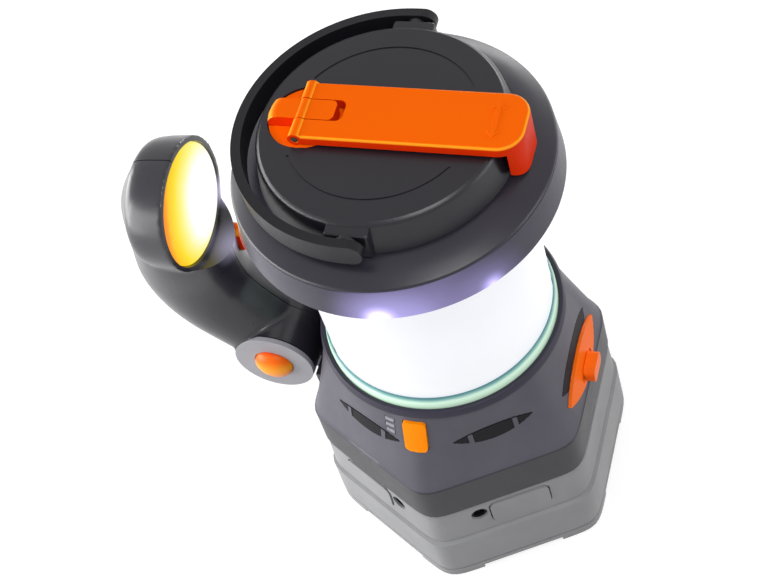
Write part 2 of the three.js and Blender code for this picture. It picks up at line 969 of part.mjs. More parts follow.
function lightBoard() {
  const outer = tubeRadius - tubeWall - gap;
  const ring = pipe(columnRadius + gap, outer, ledBoardLow, ledBoardHigh, mediumSteps);
  const lights = onCircle(ledCount, ledRingRadius, (x, y) => (
    at(rod(ledRadius, ledBoardLow - ledDrop, ledBoardHigh, hexSides), x, y)
  ));
  return join(ring, ...lights);
}

piece('lens_tube', pipe(tubeRadius - tubeWall, tubeRadius, tubeFoot, tubeTop), clearWhite, 0.15);
piece('reflector_cone', reflector(), whitePlastic, 0.2);
const columnLow = reflectorTop - columnSet;
piece('wire_column', pipe(columnRadius - columnWall, columnRadius, columnLow, ledBoardHigh, smallSteps),
  whitePlastic, 0.4);
piece('light_board', lightBoard(), whitePlastic, 0.5);

// Cap

const skirtInner = rimRadius - capWall;

function capSkirt() {
  const flangeLow = skirtBottom + edgeBevel;
  const flangeHigh = capFloorLow - gap;
  const inner = tubeRadius + gap;
  return lathe([
    [inner, flangeLow],
    [skirtRadius - capWall, flangeLow],
    [skirtRadius - edgeBevel, skirtBottom],
    [skirtRadius, skirtBottom],
    [rimRadius, skirtTop],
    [skirtInner, skirtTop],
    [skirtInner, flangeHigh],
    [inner, flangeHigh],
    [inner, flangeLow],
  ]);
}

function capRim() {
  const low = skirtTop + gap;
  return lathe([
    [skirtInner, low],
    [rimRadius, low],
    [rimRadius, rimTop - edgeBevel / 2],
    [rimRadius - edgeBevel / 2, rimTop],
    [ledgeRadius, ledgeTop],
    [ledgeInner, ledgeTop],
    [ledgeInner, ledgeTop - capWall],
    [ledgeRadius, ledgeTop - capWall],
    [skirtInner, low],
  ]);
}

function arcBand(inner, outer, start, end) {
  const shape = new THREE.Shape();
  shape.absarc(0, 0, outer, start, end, false);
  shape.absarc(0, 0, inner, end, start, true);
  return shape;
}

const discFoot = ledgeTop + gap;
const pocketFloor = discTop - hubDrop - hubPlate - gap;
const foldHeight = discTop + armLift + armThick / 2;
const handleMiddle = handleTop - handleHeight / 2;

function topDisc() {
  const under = discTop - discWall;
  const shell = lathe([
    [0, under],
    [discTopRadius - discWall / 2, under],
    [ledgeRadius - discWall, discFoot],
    [ledgeRadius, discFoot],
    [discTopRadius + discChamfer, discTop - discChamfer],
    [discTopRadius, discTop],
    [0, discTop],
  ]);
  const boss = at(rod(hubRadius + gap + hubBoss, pocketFloor - hubBoss, discTop, mediumSteps), crankX, 0);
  const pocket = at(rod(hubRadius + gap, pocketFloor, discTop + overrun, mediumSteps), crankX, 0);
  const shaftHole = at(rod(shaftRadius + gap, 0, discTop, mediumSteps), crankX, 0);
  const channel = block(crankX, armEnd, -armWidth / 2 - armRim, armWidth / 2 + armRim, discTop - armSink,
    discTop + overrun);
  const grooves = [0, halfTurn].map((turn) => {
    const start = turn + quarterTurn - grooveHalfAngle;
    const band = arcBand(grooveRadius - grooveWidth / 2, grooveRadius + grooveWidth / 2, start,
      start + 2 * grooveHalfAngle);
    return raise(band, discTop - grooveDepth, discTop + overrun, grooveSteps);
  });
  const earReach = handleInner - earInset;
  const bossReach = handleInner - 2 * gap;
  const room = pipe(ledgeRadius - 2 * discWall, handleInner, discFoot, discTop, mediumSteps);
  const earTop = handleMiddle + earBossRadius;
  const ears = common(room, block(-earHalf, earHalf, -earReach, earReach, discFoot, earTop));
  const bosses = cut(
    at(alongY(rod(earBossRadius, -bossReach, bossReach)), 0, 0, handleMiddle),
    block(-earHalf, earHalf, -ledgeRadius + 2 * discWall, ledgeRadius - 2 * discWall, discFoot, discTop),
  );
  const pinHole = at(alongY(rod(handlePinRadius + gap, -handleOuter, handleOuter)), 0, 0, handleMiddle);
  return cut(join(shell, boss, ears, bosses), pocket, shaftHole, channel, ...grooves, pinHole);
}

function carryHandle() {
  const shape = new THREE.Shape();
  shape.moveTo(handleTail, handleInner);
  shape.lineTo(handleTail, handleOuter);
  shape.lineTo(0, handleOuter);
  shape.absarc(0, 0, handleOuter, quarterTurn, 3 * quarterTurn, false);
  shape.lineTo(handleTail, -handleOuter);
  shape.lineTo(handleTail, -handleInner);
  shape.lineTo(0, -handleInner);
  shape.absarc(0, 0, handleInner, 3 * quarterTurn, quarterTurn, true);
  const bow = raise(shape, handleTop - handleHeight, handleTop, handleSteps);
  const half = handleHeight / 2;
  const bar = alongY(rod(half, -2 * handleOuter, 2 * handleOuter, mediumSteps));
  const rounded = join(
    at(bar, handleTail - half, 0, handleMiddle),
    block(-2 * handleOuter, handleTail - half, -2 * handleOuter, 2 * handleOuter, handleMiddle - half,
      handleMiddle + half),
  );
  const holeEnd = handleOuter - handleSkin;
  const pinHole = alongY(rod(handlePinRadius + gap, -holeEnd, holeEnd));
  return cut(common(bow, rounded), at(pinHole, 0, 0, handleMiddle));
}

// A stub that ends inside the handle, so that the handle's outer face stays whole
function handlePin(side) {
  const pin = alongY(rod(handlePinRadius, ledgeRadius - 2 * discWall, handleOuter - handleSkin - gap));
  if (side < 0) pin.rotateZ(halfTurn);
  return at(pin, 0, 0, handleMiddle);
}

piece('cap_skirt', capSkirt(), darkPlastic, 0.45);
piece('cap_rim', capRim(), darkPlastic, 0.35);
piece('cap_floor', rod(skirtInner - gap, capFloorLow, capFloorHigh, mediumSteps), darkPlastic, 0.6);
piece('top_disc', topDisc(), darkPlastic, 0.45);
piece('carry_handle', carryHandle(), darkPlastic, 0.45);
piece('handle_pin_right', handlePin(-1), steel, 0.3, 1);
piece('handle_pin_left', handlePin(1), steel, 0.3, 1);

// Crank: hub with its shaft, fold pin and arm

function foldRod(radius, half, steps = smallSteps) {
  return at(alongY(rod(radius, -half, half, steps)), 0, 0, foldHeight);
}

function crankHub() {
  const plateLow = pocketFloor + gap;
  const high = foldHeight + armThick / 2;
  const half = tongueWidth / 2;
  const plate = rod(hubRadius, plateLow, plateLow + hubPlate, mediumSteps);
  const shaft = rod(shaftRadius, shaftLow, plateLow + hubPlate, mediumSteps);
  const tip = rod(shaftTipRadius, tipLow, shaftLow + edgeBevel);
  const outline = roundedRectangle(-2 * hubRadius, tongueFront, -half, half, tongueCorner);
  const tongue = common(raise(outline, plateLow, high), rod(hubRadius, plateLow, high, mediumSteps));
  const barrel = foldRod(barrelEye, half);
  return cut(join(plate, shaft, tip, tongue, barrel), foldRod(foldPinRadius + gap, tongueWidth));
}

function doubleArrow() {
  const half = arrowLength / 2;
  const neck = half - arrowHead;
  const shape = new THREE.Shape();
  shape.moveTo(0, half);
  shape.lineTo(-arrowHead, neck);
  shape.lineTo(-arrowWidth / 2, neck);
  shape.lineTo(-arrowWidth / 2, -neck);
  shape.lineTo(-arrowHead, -neck);
  shape.lineTo(0, -half);
  shape.lineTo(arrowHead, -neck);
  shape.lineTo(arrowWidth / 2, -neck);
  shape.lineTo(arrowWidth / 2, neck);
  shape.lineTo(arrowHead, neck);
  return shape;
}

function crankArm() {
  const low = foldHeight - armThick / 2;
  const high = foldHeight + armThick / 2;
  const gripLow = ledgeTop + gripClear;
  const reach = armEnd - crankX;
  const half = armWidth / 2;
  const outline = new THREE.Shape();
  outline.moveTo(0, -half);
  outline.lineTo(reach - armCorner, -half);
  outline.absarc(reach - armCorner, -half + armCorner, armCorner, -quarterTurn, 0);
  outline.lineTo(reach, half - armCorner);
  outline.absarc(reach - armCorner, half - armCorner, armCorner, 0, quarterTurn);
  outline.lineTo(0, half);
  const plate = raise(outline, low, high);
  const gripOutline = roundedRectangle(-half, half, gripLow, high, gripCorner);
  const grip = common(standing(gripOutline, reach - gripThick, reach), raise(outline, gripLow, high));
  const slotHalf = tongueWidth / 2 + gap;
  const slotEnd = tongueFront + slotRoom;
  const slot = roundedRectangle(-slotEnd, slotEnd, -slotHalf, slotHalf, tongueCorner + gap);
  const arrow = at(raise(doubleArrow(), high - gap, high + arrowRise), arrowX - crankX, 0);
  return cut(
    join(plate, grip, foldRod(barrelEye, half), arrow),
    raise(slot, low - overrun, high + overrun),
    foldRod(foldPinRadius + gap, armWidth),
  );
}

const crank = new THREE.Group();
crank.position.set(crankX, 0, 0);
lantern.add(crank);
const gearTop = pocketFloor - hubBoss - gearLayerGap;
const gearLow = gearTop - gearThick;
const wheelTop = gearLow - gearLayerGap;
const wheelLow = wheelTop - gearThick;
const shaftLow = gearLow - gearLayerGap / 2;
const tipLow = capFloorHigh + 2 * frameThick;
piece('crank_hub', crankHub(), orange, 0.4, 0, crank);
piece('crank_arm', crankArm(), orange, 0.4, 0, crank);
piece('fold_pin', foldRod(foldPinRadius, armWidth / 2), steel, 0.3, 1, crank);

// Gear train between the crank and the dynamo

function involute(angle) {
  return Math.tan(angle) - angle;
}

// Half of the angle that a tooth spans at a radius
function toothHalf(teeth, radius) {
  const pitch = (teeth * gearModule) / 2;
  const base = pitch * Math.cos(pressureAngle);
  const lean = radius > base ? Math.acos(base / radius) : 0;
  const thickness = (halfTurn * gearModule - backlash) / 2;
  return thickness / (2 * pitch) + involute(pressureAngle) - involute(lean);
}

function gearForm(teeth, bore, low, high, phase = 0) {
  const pitch = (teeth * gearModule) / 2;
  const root = pitch - dedendumShare * gearModule;
  const tip = pitch + addendumShare * gearModule;
  const flank = [root, tip];
  const shape = new THREE.Shape();
  for (let tooth = 0; tooth < teeth; tooth++) {
    const middle = phase + (tooth / teeth) * fullTurn;
    const rising = flank.map((radius) => [radius, middle - toothHalf(teeth, radius)]);
    const falling = flank.map((radius) => [radius, middle + toothHalf(teeth, radius)]).reverse();
    for (const [radius, angle] of [...rising, ...falling]) {
      const x = radius * Math.cos(angle);
      const y = radius * Math.sin(angle);
      if (shape.curves.length || shape.currentPoint.lengthSq()) shape.lineTo(x, y);
      else shape.moveTo(x, y);
    }
  }
  const hole = new THREE.Path();
  hole.absarc(0, 0, bore, 0, fullTurn, true);
  shape.holes.push(hole);
  return raise(shape, low, high, boreSteps);
}

const wheelPitch = (wheelTeeth * gearModule) / 2;
const pinionPitch = (pinionTeeth * gearModule) / 2;
const compoundX = crankX + drivePitch + pinionPitch;
const rotorX = compoundX + wheelPitch + pinionPitch;
const halfTooth = halfTurn / pinionTeeth;
const dynamoLow = capFloorHigh + gap;
const dynamoHigh = dynamoLow + dynamoHeight;
const neckHigh = dynamoHigh + dynamoNeckHeight;

function compoundGear() {
  const bore = axleRadius + gap;
  const wheel = gearForm(wheelTeeth, bore, wheelLow, wheelTop);
  const pinion = gearForm(pinionTeeth, bore, wheelLow, gearTop + gearLayerGap / 2, halfTooth);
  return join(wheel, pinion);
}

function rotor() {
  const low = dynamoLow + dynamoWall + gap;
  const pinionLow = neckHigh + gearLayerGap;
  const shaft = lathe([
    [0, low],
    [rotorShaftRadius, low],
    [rotorShaftRadius, low + rotorLift],
    [rotorRadius, low + rotorLift],
    [rotorRadius, low + rotorLift + rotorHeight],
    [rotorShaftRadius, low + rotorLift + rotorHeight],
    [rotorShaftRadius, wheelTop],
    [0, wheelTop],
  ], mediumSteps);
  const pinion = gearForm(pinionTeeth, rotorShaftRadius / 2, pinionLow, wheelTop, halfTooth);
  return join(shaft, pinion);
}

function dynamoBody() {
  const bore = rotorShaftRadius + gap;
  return lathe([
    [0, dynamoLow],
    [dynamoRadius, dynamoLow],
    [dynamoRadius, dynamoHigh],
    [dynamoNeckRadius, dynamoHigh],
    [dynamoNeckRadius, neckHigh],
    [bore, neckHigh],
    [bore, dynamoHigh - dynamoWall],
    [dynamoRadius - dynamoWall, dynamoHigh - dynamoWall],
    [dynamoRadius - dynamoWall, dynamoLow + dynamoWall],
    [0, dynamoLow + dynamoWall],
  ], mediumSteps);
}

function gearFrame() {
  const plateHigh = dynamoLow + frameThick;
  const right = compoundX + axleBaseRadius;
  const plate = block(crankX - frameReach, right, -frameHalf, frameHalf, dynamoLow, plateHigh);
  const boss = at(rod(frameBossRadius, dynamoLow, plateHigh + frameBossHeight), crankX, 0);
  const bore = at(rod(shaftTipRadius + gap, plateHigh, wheelLow), crankX, 0);
  const axle = at(rod(axleRadius, dynamoLow, gearTop + gearLayerGap), compoundX, 0);
  const step = at(rod(axleBaseRadius, dynamoLow, wheelLow - gap), compoundX, 0);
  return cut(join(plate, boss, axle, step), bore);
}

piece('drive_gear', gearForm(driveTeeth, shaftRadius + gap, gearLow, gearTop), whitePlastic, 0.4, 0, crank);
piece('compound_gear', compoundGear(), whitePlastic, 0.4).position.set(compoundX, 0, 0);
piece('dynamo_rotor', rotor(), copper, 0.4, 0.6).position.set(rotorX, 0, 0);
piece('dynamo_body', dynamoBody(), steel, 0.35, 0.9).position.set(rotorX, 0, 0);
piece('gear_frame', gearFrame(), darkPlastic, 0.6);

// Side torch

// The torch's outside, moved in or out by a margin
function torchNeck(margin) {
  const centres = neckShares.map(([outShare, riseShare]) => (
    new THREE.Vector3(pivotX - neckOut * outShare, 0, pivotZ + headRise * riseShare)
  ));
  const rings = neckShares.map(([, , alongShare, acrossShare], i) => {
    const before = centres[Math.max(i - 1, 0)];
    const after = centres[Math.min(i + 1, centres.length - 1)];
    const way = after.clone().sub(before).normalize();
    const side = new THREE.Vector3(-way.z, 0, way.x);
    const along = barrelRadius * alongShare + margin;
    const across = barrelHalf * acrossShare + margin;
    return Array.from({ length: torchSteps }, (_, k) => {
      const angle = (k / torchSteps) * fullTurn;
      const point = centres[i].clone().addScaledVector(side, along * Math.cos(angle));
      point.y = across * Math.sin(angle);
      return point;
    });
  });
  return skin(rings);
}

function torchHead(margin, front = 0) {
  const back = headDepth + headDome + margin;
  const profile = headShares.map(([depthShare, radiusShare]) => [
    (headRadius + margin) * radiusShare,
    back * depthShare,
  ]);
  const form = lathe([[0, -front], [profile[0][0], -front], ...profile, [0, back]], torchSteps);
  form.rotateY(-quarterTurn);
  return at(form, headX, 0, headZ);
}

function pivotRod(radius, low, high, steps = torchSteps) {
  return at(alongY(rod(radius, low, high, steps)), pivotX, 0, pivotZ);
}

function headPlug(radius, back, front) {
  return at(alongX(rod(radius, back, front, torchSteps)), headX, 0, headZ);
}

function pivotSlot(margin) {
  const half = lugHalf + gap + margin;
  const ring = pivotRod(lugRadius + gap + margin, -half, half);
  const left = pivotX - torchSlotReach - margin;
  const right = pivotX + barrelRadius + overrun + margin;
  const low = pivotZ - torchSlotDrop - margin;
  const path = block(left, right, -half, half, low, pivotZ - torchSlotTop + margin);
  return join(ring, path);
}

const barrelFront = barrelHalf - endDiscThick - gap;
const reach = -2 * pivotX;

function torchForm(margin) {
  const barrel = pivotRod(barrelRadius + margin, -barrelFront - margin, barrelHalf + margin);
  return join(torchNeck(margin), torchHead(margin), barrel);
}

function torchCavity() {
  const wall = -torchWall;
  const neck = cut(torchNeck(wall), headPlug(lensClearRadius + torchWall, -lensPlugDepth, reach));
  const barrel = pivotRod(barrelRadius + wall, -barrelHalf, barrelHalf + wall);
  const head = torchHead(wall, overrun);
  const cell = at(rod(torchCellRadius + gap, 0, 2 * reach, mediumSteps), torchCellX, 0);
  const ribs = [torchCellLow + torchRibInset, torchCellHigh - torchRibInset].map((low) => (
    cut(block(-reach, 0, -reach, reach, low, low + torchRibThick), cell)
  ));
  return cut(join(neck, head, barrel), pivotSlot(torchWall), ...ribs);
}

function sideButtonForm(margin) {
  const half = sideButtonWidth / 2 + margin;
  const tall = sideButtonLength / 2 + margin;
  const outline = roundedRectangle(sideButtonY - half, sideButtonY + half, sideButtonZ - tall,
    sideButtonZ + tall, half - gap);
  return standing(outline, neckX, 0);
}

function torchShell(side) {
  const half = block(-reach, 0, side > 0 ? gap / 2 : -reach, side > 0 ? reach : -gap / 2, 0, 2 * reach);
  const pinHole = pivotRod(pivotPinRadius + gap, -barrelHalf, pivotPinHigh, smallSteps);
  const opening = headPlug(lensClearRadius, 0, reach);
  const seat = pivotRod(barrelRadius, -reach, -barrelFront);
  const body = cut(torchForm(0), torchCavity(), pivotSlot(0), opening, sideButtonForm(gap), pinHole, seat);
  return common(body, half);
}

function sideButton() {
  const band = cut(torchForm(sideButtonRise), torchForm(-sideButtonDepth));
  return common(band, sideButtonForm(0));
}

function torchBracket() {
  const plateHigh = -upperFlat - gap;
  const plateLow = plateHigh - lugFootThick;
  const plate = block(plateLow, plateHigh, -lugFootHalf, lugFootHalf, lugFootLow, lugFootHigh);
  const lug = pivotRod(lugRadius, -lugHalf, lugHalf);
  const web = new THREE.Shape();
  web.moveTo(pivotX, pivotZ - lugRadius / 2);
  web.lineTo(pivotX + webReach, pivotZ - lugRadius * webShare);
  web.lineTo(plateHigh, lugFootLow);
  web.lineTo(plateHigh, lugFootHigh);
  const rib = raise(web, -lugHalf, lugHalf);
  rib.rotateX(quarterTurn);
  const pinHole = pivotRod(pivotPinRadius + gap, -barrelHalf, barrelHalf, smallSteps);
  return cut(join(plate, lug, rib), pinHole);
}

function endDisc() {
  const ring = pivotRod(barrelRadius - gap, -barrelHalf, -barrelFront - gap);
  return cut(ring, pivotRod(domeRadius + gap, -2 * barrelHalf, 0));
}

function domeButton() {
  const face = barrelHalf;
  const levels = Array.from({ length: domeSteps }, (_, i) => (i / domeSteps) * quarterTurn);
  const dome = lathe([
    [0, face - domeStemDepth],
    [domeRadius, face - domeStemDepth],
    ...levels.map((angle) => [domeRadius * Math.cos(angle), face + domeRise * Math.sin(angle)]),
    [0, face + domeRise],
  ], torchSteps);
  alongY(dome);
  dome.rotateZ(halfTurn);
  return at(dome, pivotX, 0, pivotZ);
}

const bowlFront = lensSet + lensThick + gap;

function torchBowl() {
  const outer = torchBowlShares.map(([radiusShare, depthShare]) => [
    THREE.MathUtils.lerp(torchEye + torchBowlWall, lensRadius - gap, radiusShare),
    bowlFront + torchBowlDeep * depthShare,
  ]);
  const inner = outer.map(([radius, depth]) => [radius - torchBowlWall, depth]).reverse();
  const bowl = lathe([...outer, ...inner, outer[0]], torchSteps);
  bowl.rotateY(-quarterTurn);
  return at(bowl, headX, 0, headZ);
}

function torchLens() {
  return headPlug(lensRadius, -lensSet - lensThick, -lensSet);
}

function torchLamp() {
  const back = -bowlFront - torchBowlDeep - gap;
  const board = headPlug(lampRadius, back - boardThick, back);
  const dome = headPlug(lampDomeRadius, back - boardThick / 2, back + lampRise);
  return join(board, dome);
}

piece('torch_bracket', torchBracket(), darkPlastic, 0.5);
piece('torch_pivot_pin', pivotRod(pivotPinRadius, pivotPinLow, pivotPinHigh, smallSteps), steel, 0.3, 1);
piece('torch_shell_front', torchShell(-1), darkPlastic, 0.4);
piece('torch_shell_back', torchShell(1), darkPlastic, 0.4);
piece('torch_end_disc', endDisc(), paleGrey, 0.5);
piece('torch_dome_button', domeButton(), orange, 0.4);
piece('torch_side_button', sideButton(), orange, 0.4);
piece('torch_reflector', torchBowl(), steel, 0.1, 1);
piece('torch_lens', torchLens(), clearWhite, 0.1);
piece('torch_lamp', torchLamp(), whitePlastic, 0.4);
const torchCell = rod(torchCellRadius, torchCellLow, torchCellHigh, mediumSteps);
piece('torch_battery', at(torchCell, torchCellX, 0), steel, 0.35, 0.8);

export default lantern;
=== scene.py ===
import math

import bmesh
import bpy
from mathutils import Matrix, Vector


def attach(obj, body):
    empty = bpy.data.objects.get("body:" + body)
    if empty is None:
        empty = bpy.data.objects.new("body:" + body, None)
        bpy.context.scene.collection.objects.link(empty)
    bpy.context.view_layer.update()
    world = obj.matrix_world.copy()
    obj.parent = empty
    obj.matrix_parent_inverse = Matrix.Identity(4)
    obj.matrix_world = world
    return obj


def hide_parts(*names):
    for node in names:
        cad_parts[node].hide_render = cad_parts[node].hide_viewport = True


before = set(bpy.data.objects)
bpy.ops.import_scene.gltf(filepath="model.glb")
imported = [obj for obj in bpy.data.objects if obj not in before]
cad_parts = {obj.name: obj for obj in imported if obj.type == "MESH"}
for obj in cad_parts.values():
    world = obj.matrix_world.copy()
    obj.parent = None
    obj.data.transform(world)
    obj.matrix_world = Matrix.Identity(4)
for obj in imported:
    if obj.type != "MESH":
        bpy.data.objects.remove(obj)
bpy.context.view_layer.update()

# Shapes are in millimetres, the camera, the lamps and the depth of bumps in metres
MM = 0.001
TAU = 2 * math.pi
QUARTER = math.pi / 2
MERGE = 1e-6
GAP = 0.3
STEPS = 144


def link(data, name="part"):
    item = bpy.data.objects.new(name, data)
    bpy.context.scene.collection.objects.link(item)
    return item


# Camera at the photograph's angle
SENSOR, FOCAL, NEAREST = 36, 73.85, 0.01
CAMERA_PLACE = (0.1834, -0.3387, 0.6423)
camera_data = bpy.data.cameras.new("camera")
camera_data.sensor_width = SENSOR
camera_data.lens = FOCAL
camera_data.clip_start = NEAREST
camera = link(camera_data, "camera")
right = Vector((0.946, 0.249, -0.207)).normalized()
back = Vector((0.311, -0.517, 0.798)).normalized()
up = back.cross(right).normalized()
right = up.cross(back)
camera.matrix_world = Matrix([*zip(right, up, back, CAMERA_PLACE), (0, 0, 0, 1)])
bpy.context.scene.camera = camera
bpy.context.scene.view_settings.view_transform = "Standard"


# Meshes
def mesh_object(points, faces):
    mesh = bpy.data.meshes.new("part")
    mesh.from_pydata([Vector(p) * MM for p in points], [], faces)
    mesh.validate()
    draft = bmesh.new()
    draft.from_mesh(mesh)
    bmesh.ops.remove_doubles(draft, verts=draft.verts, dist=MERGE)
    bmesh.ops.recalc_face_normals(draft, faces=draft.faces)
    draft.to_mesh(mesh)
    draft.free()
    return link(mesh)


# A profile of (radius, height) turned around the Z axis
def lathe(profile, steps=STEPS):
    points, levels, faces = [], [], []
    for radius, height in profile:
        if radius < MERGE:
            levels.append([len(points)] * steps)
            points.append((0, 0, height))
            continue
        levels.append([len(points) + i for i in range(steps)])
        for i in range(steps):
            angle = i * TAU / steps
            points.append((radius * math.cos(angle), radius * math.sin(angle), height))
    for low, high in zip(levels, levels[1:]):
        for i in range(steps):
            j = (i + 1) % steps
            corners = list(dict.fromkeys((low[i], low[j], high[j], high[i])))
            if len(corners) > 2:
                faces.append(corners)
    return mesh_object(points, faces)


def rod(radius, low, high, steps=64):
    return lathe([(0, low), (radius, low), (radius, high), (0, high)], steps)


def pipe(inner, outer, low, high):
    return lathe([(inner, low), (outer, low), (outer, high), (inner, high), (inner, low)])


def block(x0, x1, y0, y1, z0, z1):
    points = [(x, y, z) for x in (x0, x1) for y in (y0, y1) for z in (z0, z1)]
    return mesh_object(points, [
        (0, 1, 3, 2), (4, 6, 7, 5), (0, 4, 5, 1), (2, 3, 7, 6), (0, 2, 6, 4), (1, 5, 7, 3)])


# A closed form through levels that have the same number of points
def skin(levels):
    n = len(levels[0])
    points = [p for level in levels for p in level]
    faces = [tuple(range(n))[::-1], tuple(range(len(points) - n, len(points)))]
    for start in range(0, len(points) - n, n):
        for i in range(n):
            a, b = start + i, start + (i + 1) % n
            faces.append((a, b, b + n, a + n))
    return mesh_object(points, faces)


def raised(outline, low, high):
    return skin([[(x, y, height) for x, y in outline] for height in (low, high)])


def move(item, x=0, y=0, z=0):
    item.data.transform(Matrix.Translation((x * MM, y * MM, z * MM)))
    return item


def turn(item, angle, axis="Z"):
    item.data.transform(Matrix.Rotation(angle, 4, axis))
    return item


def along_y(item):
    return turn(item, -QUARTER, "X")


def along_x(item):
    return turn(item, QUARTER, "Y")


# A rod along Y that reaches as far to one side as to the other
def crosswise(radius, reach, height, x=0, steps=64):
    return move(along_y(rod(radius, -reach, reach, steps)), x, 0, height)


# An outline with X across the +X face and Y as height
def standing(outline, low, high):
    return turn(turn(raised(outline, low, high), QUARTER, "X"), QUARTER, "Z")


# Applies the modifiers
def settle(item):
    graph = bpy.context.evaluated_depsgraph_get()
    mesh = bpy.data.meshes.new_from_object(item.evaluated_get(graph))
    item.modifiers.clear()
    old = item.data
    item.data = mesh
    bpy.data.meshes.remove(old)
    return item


def combine(item, tools, kind):
    for tool in tools:
        step = item.modifiers.new(kind, "BOOLEAN")
        step.operation = kind
        step.solver = "MANIFOLD"
        step.object = tool
        settle(item)
        bpy.data.objects.remove(tool)
    return item


def cut(item, *tools):
    return combine(item, tools, "DIFFERENCE")


def join(item, *tools):
    return combine(item, tools, "UNION")


def common(item, *tools):
    return combine(item, tools, "INTERSECT")


def soften(item, width=0.5, segments=3, angle=35):
    step = item.modifiers.new("bevel", "BEVEL")
    step.width = width * MM
    step.segments = segments
    step.limit_method = "ANGLE"
    step.angle_limit = math.radians(angle)
    return settle(item)


NORMAL_WEIGHT = 80


def shade(item, angle=30):
    item.data.shade_smooth()
    item.data.set_sharp_from_angle(angle=math.radians(angle))
    step = item.modifiers.new("weigh", "WEIGHTED_NORMAL")
    step.keep_sharp = True
    step.weight = NORMAL_WEIGHT
    return settle(item)


# Outlines
def arc(radius, start, sweep, count):
    angles = [math.radians(start + sweep * k / count) for k in range(count + 1)]
    return [(radius * math.cos(a), radius * math.sin(a)) for a in angles]


def rounded(x0, x1, y0, y1, radius, count=6):
    corners = [(x1 - radius, y0 + radius, -90), (x1 - radius, y1 - radius, 0),
               (x0 + radius, y1 - radius, 90), (x0 + radius, y0 + radius, 180)]
    return [(cx + x, cy + y) for cx, cy, start in corners for x, y in arc(radius, start, 90, count)]


LEAF_STEPS = 20


def leaf(length, width, height, centre=0):
    outline = []
    for side in (-1, 1):
        for k in range(LEAF_STEPS):
            t = k / LEAF_STEPS
            across = centre + side * length * (t - 0.5)
            outline.append((across, height + side * 2 * t * (1 - t) * width))
    return outline


# Hexagon with soft corners, becoming a circle as share goes to 1
HEX_SIDES, HEX_SHARPNESS = 6, 22


def hex_reach(angle, flat):
    total = 0
    for side in range(HEX_SIDES):
        along = math.cos(angle - side * TAU / HEX_SIDES)
        if along > 0:
            total += along ** HEX_SHARPNESS
    return flat / total ** (1 / HEX_SHARPNESS)


def hex_ring(height, flat, radius=0, share=0):
    ring = []
    for i in range(STEPS):
        angle = i * TAU / STEPS
        reach = hex_reach(angle, flat) * (1 - share) + radius * share
        ring.append((reach * math.cos(angle), reach * math.sin(angle), height))
    return ring


# Nodes: a value that is a socket is linked, any other is set on the input
def feed(tree, target, values):
    for key, value in values.items():
        if isinstance(value, bpy.types.NodeSocket):
            tree.links.new(value, target.inputs[key])
        else:
            target.inputs[key].default_value = value


def node(tree, kind, values=None, operation=None):
    made = tree.nodes.new(f"ShaderNode{kind}")
    if operation:
        made.operation = operation
    feed(tree, made, values or {})
    return made


def calculated(tree, operation, *values):
    return node(tree, "Math", dict(enumerate(values)), operation).outputs["Value"]


def vector(tree, operation, output, *values):
    return node(tree, "VectorMath", dict(enumerate(values)), operation).outputs[output]


def mapped(tree, source, low, high, at_low=0, at_high=1):
    return node(tree, "MapRange", {
        "Value": source, "From Min": low, "From Max": high, "To Min": at_low, "To Max": at_high,
    }).outputs["Result"]


def noise(tree, place, **values):
    return node(tree, "TexNoise", {"Vector": place, **values}).outputs["Fac"]


def bump(tree, height, strength, depth):
    return node(tree, "Bump", {
        "Height": height, "Strength": strength, "Distance": depth}).outputs["Normal"]


def up_axis(tree, source):
    return node(tree, "SeparateXYZ", {"Vector": source}).outputs["Z"]


# Runs through stops of (position, linear colour)
def ramp(tree, source, *stops):
    made = node(tree, "ValToRGB", {"Fac": source})
    elements = made.color_ramp.elements
    first, *between, last = stops
    for i, (position, colour) in enumerate((first, last)):
        elements[i].position = position
        elements[i].color = (*colour, 1)
    for position, colour in between:
        elements.new(position).color = (*colour, 1)
    return made.outputs["Color"]


MOTTLE_LOW, MOTTLE_HIGH = 0.35, 0.65


def mottled(tree, source, low, high):
    return ramp(tree, source, (MOTTLE_LOW, low), (MOTTLE_HIGH, high))


# From 0 to 255 on the sRGB curve, whose foot is straight, to linear
FULL, CURVE_FOOT, CURVE_SHIFT, CURVE_POWER, FOOT_SLOPE = 255, 10, 0.055, 2.4, 12.92


def linear(colour):
    return tuple(
        ((v / FULL + CURVE_SHIFT) / (1 + CURVE_SHIFT)) ** CURVE_POWER if v > CURVE_FOOT
        else v / FULL / FOOT_SLOPE
        for v in colour)


def new_material(name):
    material = bpy.data.materials.new(name)
    material.use_nodes = True
    tree = material.node_tree
    return material, tree, tree.nodes["Principled BSDF"]


# How much of the normal points up or down on faces that count as upright, slanted and level
UPRIGHT, SLANT_LOW, SLANT_HIGH, LEVEL = 0.1, 0.45, 0.8, 0.98
PAINTED_LIGHT_SHARE, EDGE_BLUR = 0.85, 0.3
GRAIN_DEPTH, COAT_ROUGHNESS = 0.00006, 0.15
SMOOTHER, ROUGHER, SMOOTHEST = 0.07, 0.09, 0.03
